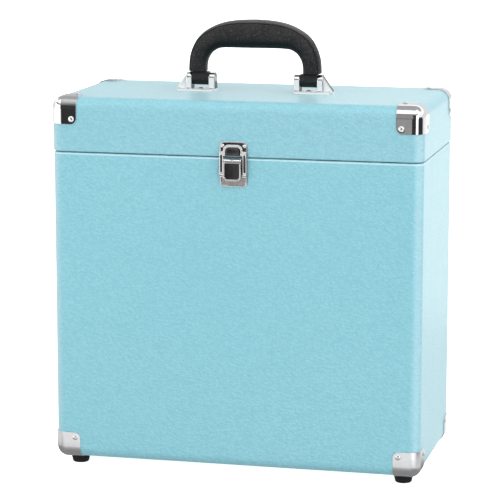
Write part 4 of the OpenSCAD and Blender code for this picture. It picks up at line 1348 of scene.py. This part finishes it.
def area(name, loc, target, size, energy, sy=None, glossy=True):
    l = bpy.data.lights.new(name, 'AREA')
    l.shape = 'RECTANGLE'
    l.size = size
    l.size_y = sy or size
    l.energy = energy
    o = bpy.data.objects.new(name, l)
    sc.collection.objects.link(o)
    o.location = loc
    o.rotation_euler = (Vector(target) - Vector(loc)).to_track_quat('-Z', 'Y').to_euler()
    o.visible_camera = False
    o.visible_glossy = glossy
    return o


area("key_right", (2.2, -0.7, 1.3), (0, 0, 0.2), 1.6, 7.6, 1.6)
area("top", (0.2, 0.1, 2.4), (0, 0, 0.2), 2.0, 5.5, 2.0, False)

# floor
S = 6.0
fl = new_obj("floor", [(-S * 1000, -S * 1000, 0), (S * 1000, -S * 1000, 0), (S * 1000, S * 1000, 0), (-S * 1000, S * 1000, 0)], [(0, 1, 2, 3)])
mf, kf, bf, cof = material("pale_floor")
bf.inputs["Base Color"].default_value = (0.9, 0.9, 0.9, 1)
bf.inputs["Roughness"].default_value = 0.7
sepf = kf.n('ShaderNodeSeparateXYZ')
kf.l(cof, sepf.inputs[0])
lpf = kf.n('ShaderNodeLightPath')
fx, fy = sepf.outputs[0], sepf.outputs[1]
dist = kf.math('SQRT', kf.math('ADD', kf.math('MULTIPLY', fx, fx), kf.math('MULTIPLY', fy, fy)))
ux, uy = kf.math('DIVIDE', fx, dist), kf.math('DIVIDE', fy, dist)


def emis(k, strength):
    e = k.n('ShaderNodeEmission')
    e.inputs["Color"].default_value = (1, 1, 1, 1)
    if isinstance(strength, (int, float)):
        e.inputs["Strength"].default_value = strength
    else:
        k.l(strength, e.inputs["Strength"])
    return e.outputs[0]


def mixs(k, f, a, b):
    m = k.n('ShaderNodeMixShader')
    k.l(f, m.inputs[0])
    k.l(a, m.inputs[1])
    k.l(b, m.inputs[2])
    return m.outputs[0]


# seen by the camera: a white floor that keeps a faint contact shadow
add = kf.n('ShaderNodeAddShader')
kf.l(bf.outputs[0], add.inputs[0])
kf.l(emis(kf, 0.80), add.inputs[1])
# seen in reflections: light near the case, dark further out in front, light again far off and behind
frf = kf.rng(uy, -0.05, 0.30, 1, 0, True)
farz = kf.rng(dist, 0.55, 0.9, 0, 1, True)
back_v = blend_(kf, kf.math('ADD', 1.0, 0.0), band_(kf, ux, -0.62, -0.26, 0.04), 0.5)
back_v = blend_(kf, back_v, band_(kf, ux, 0.08, 0.55, 0.06), 1.42)
grey = band_(kf, ux, -0.22, -0.02, 0.02)
dark_v = kf.math('ADD', 0.03, kf.math('MULTIPLY', kf.math('MULTIPLY', grey, kf.rng(dist, 3.1, 3.5, 1, 0, True)), 0.30))
dark_v = kf.math('ADD', dark_v, kf.math('MULTIPLY', band_(kf, ux, 0.50, 0.77, 0.02), 1.4))
dark_v = kf.math('ADD', dark_v, kf.math('MULTIPLY', kf.rng(ux, -0.48, -0.42, 1, 0, True), 1.2))
dark_v = kf.math('ADD', kf.math('MULTIPLY', dark_v, frf), kf.math('MULTIPLY', back_v, kf.math('SUBTRACT', 1.0, frf)))
near_v = kf.math('MAXIMUM', kf.rng(kf.math('MULTIPLY', fy, -1.0), 0.085, 0.18, 0.26, 0.86, True), kf.rng(fx, -0.27, -0.21, 0.72, 0.26, True))
near_v = kf.math('ADD', near_v, kf.math('MULTIPLY', band_(kf, fx, 0.215, 0.29, 0.03), 0.40))
near_v = blend_(kf, near_v, kf.math('SUBTRACT', 1.0, frf), 0.95)
gv = kf.math('ADD', kf.math('MULTIPLY', dark_v, farz), kf.math('MULTIPLY', near_v, kf.math('SUBTRACT', 1.0, farz)))
# what lights the case from below: dimmer close by, so the lower edges fall off
fall = kf.rng(dist, 0.20, 0.50, 0.84, 1.06, True)
sh = mixs(kf, lpf.outputs["Is Camera Ray"], emis(kf, fall), add.outputs[0])
sh = mixs(kf, lpf.outputs["Is Glossy Ray"], sh, emis(kf, gv))
out = [n for n in mf.node_tree.nodes if n.type == 'OUTPUT_MATERIAL'][0]
kf.l(sh, out.inputs[0])
fl.data.materials.append(mf)
fl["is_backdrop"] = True

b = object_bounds()
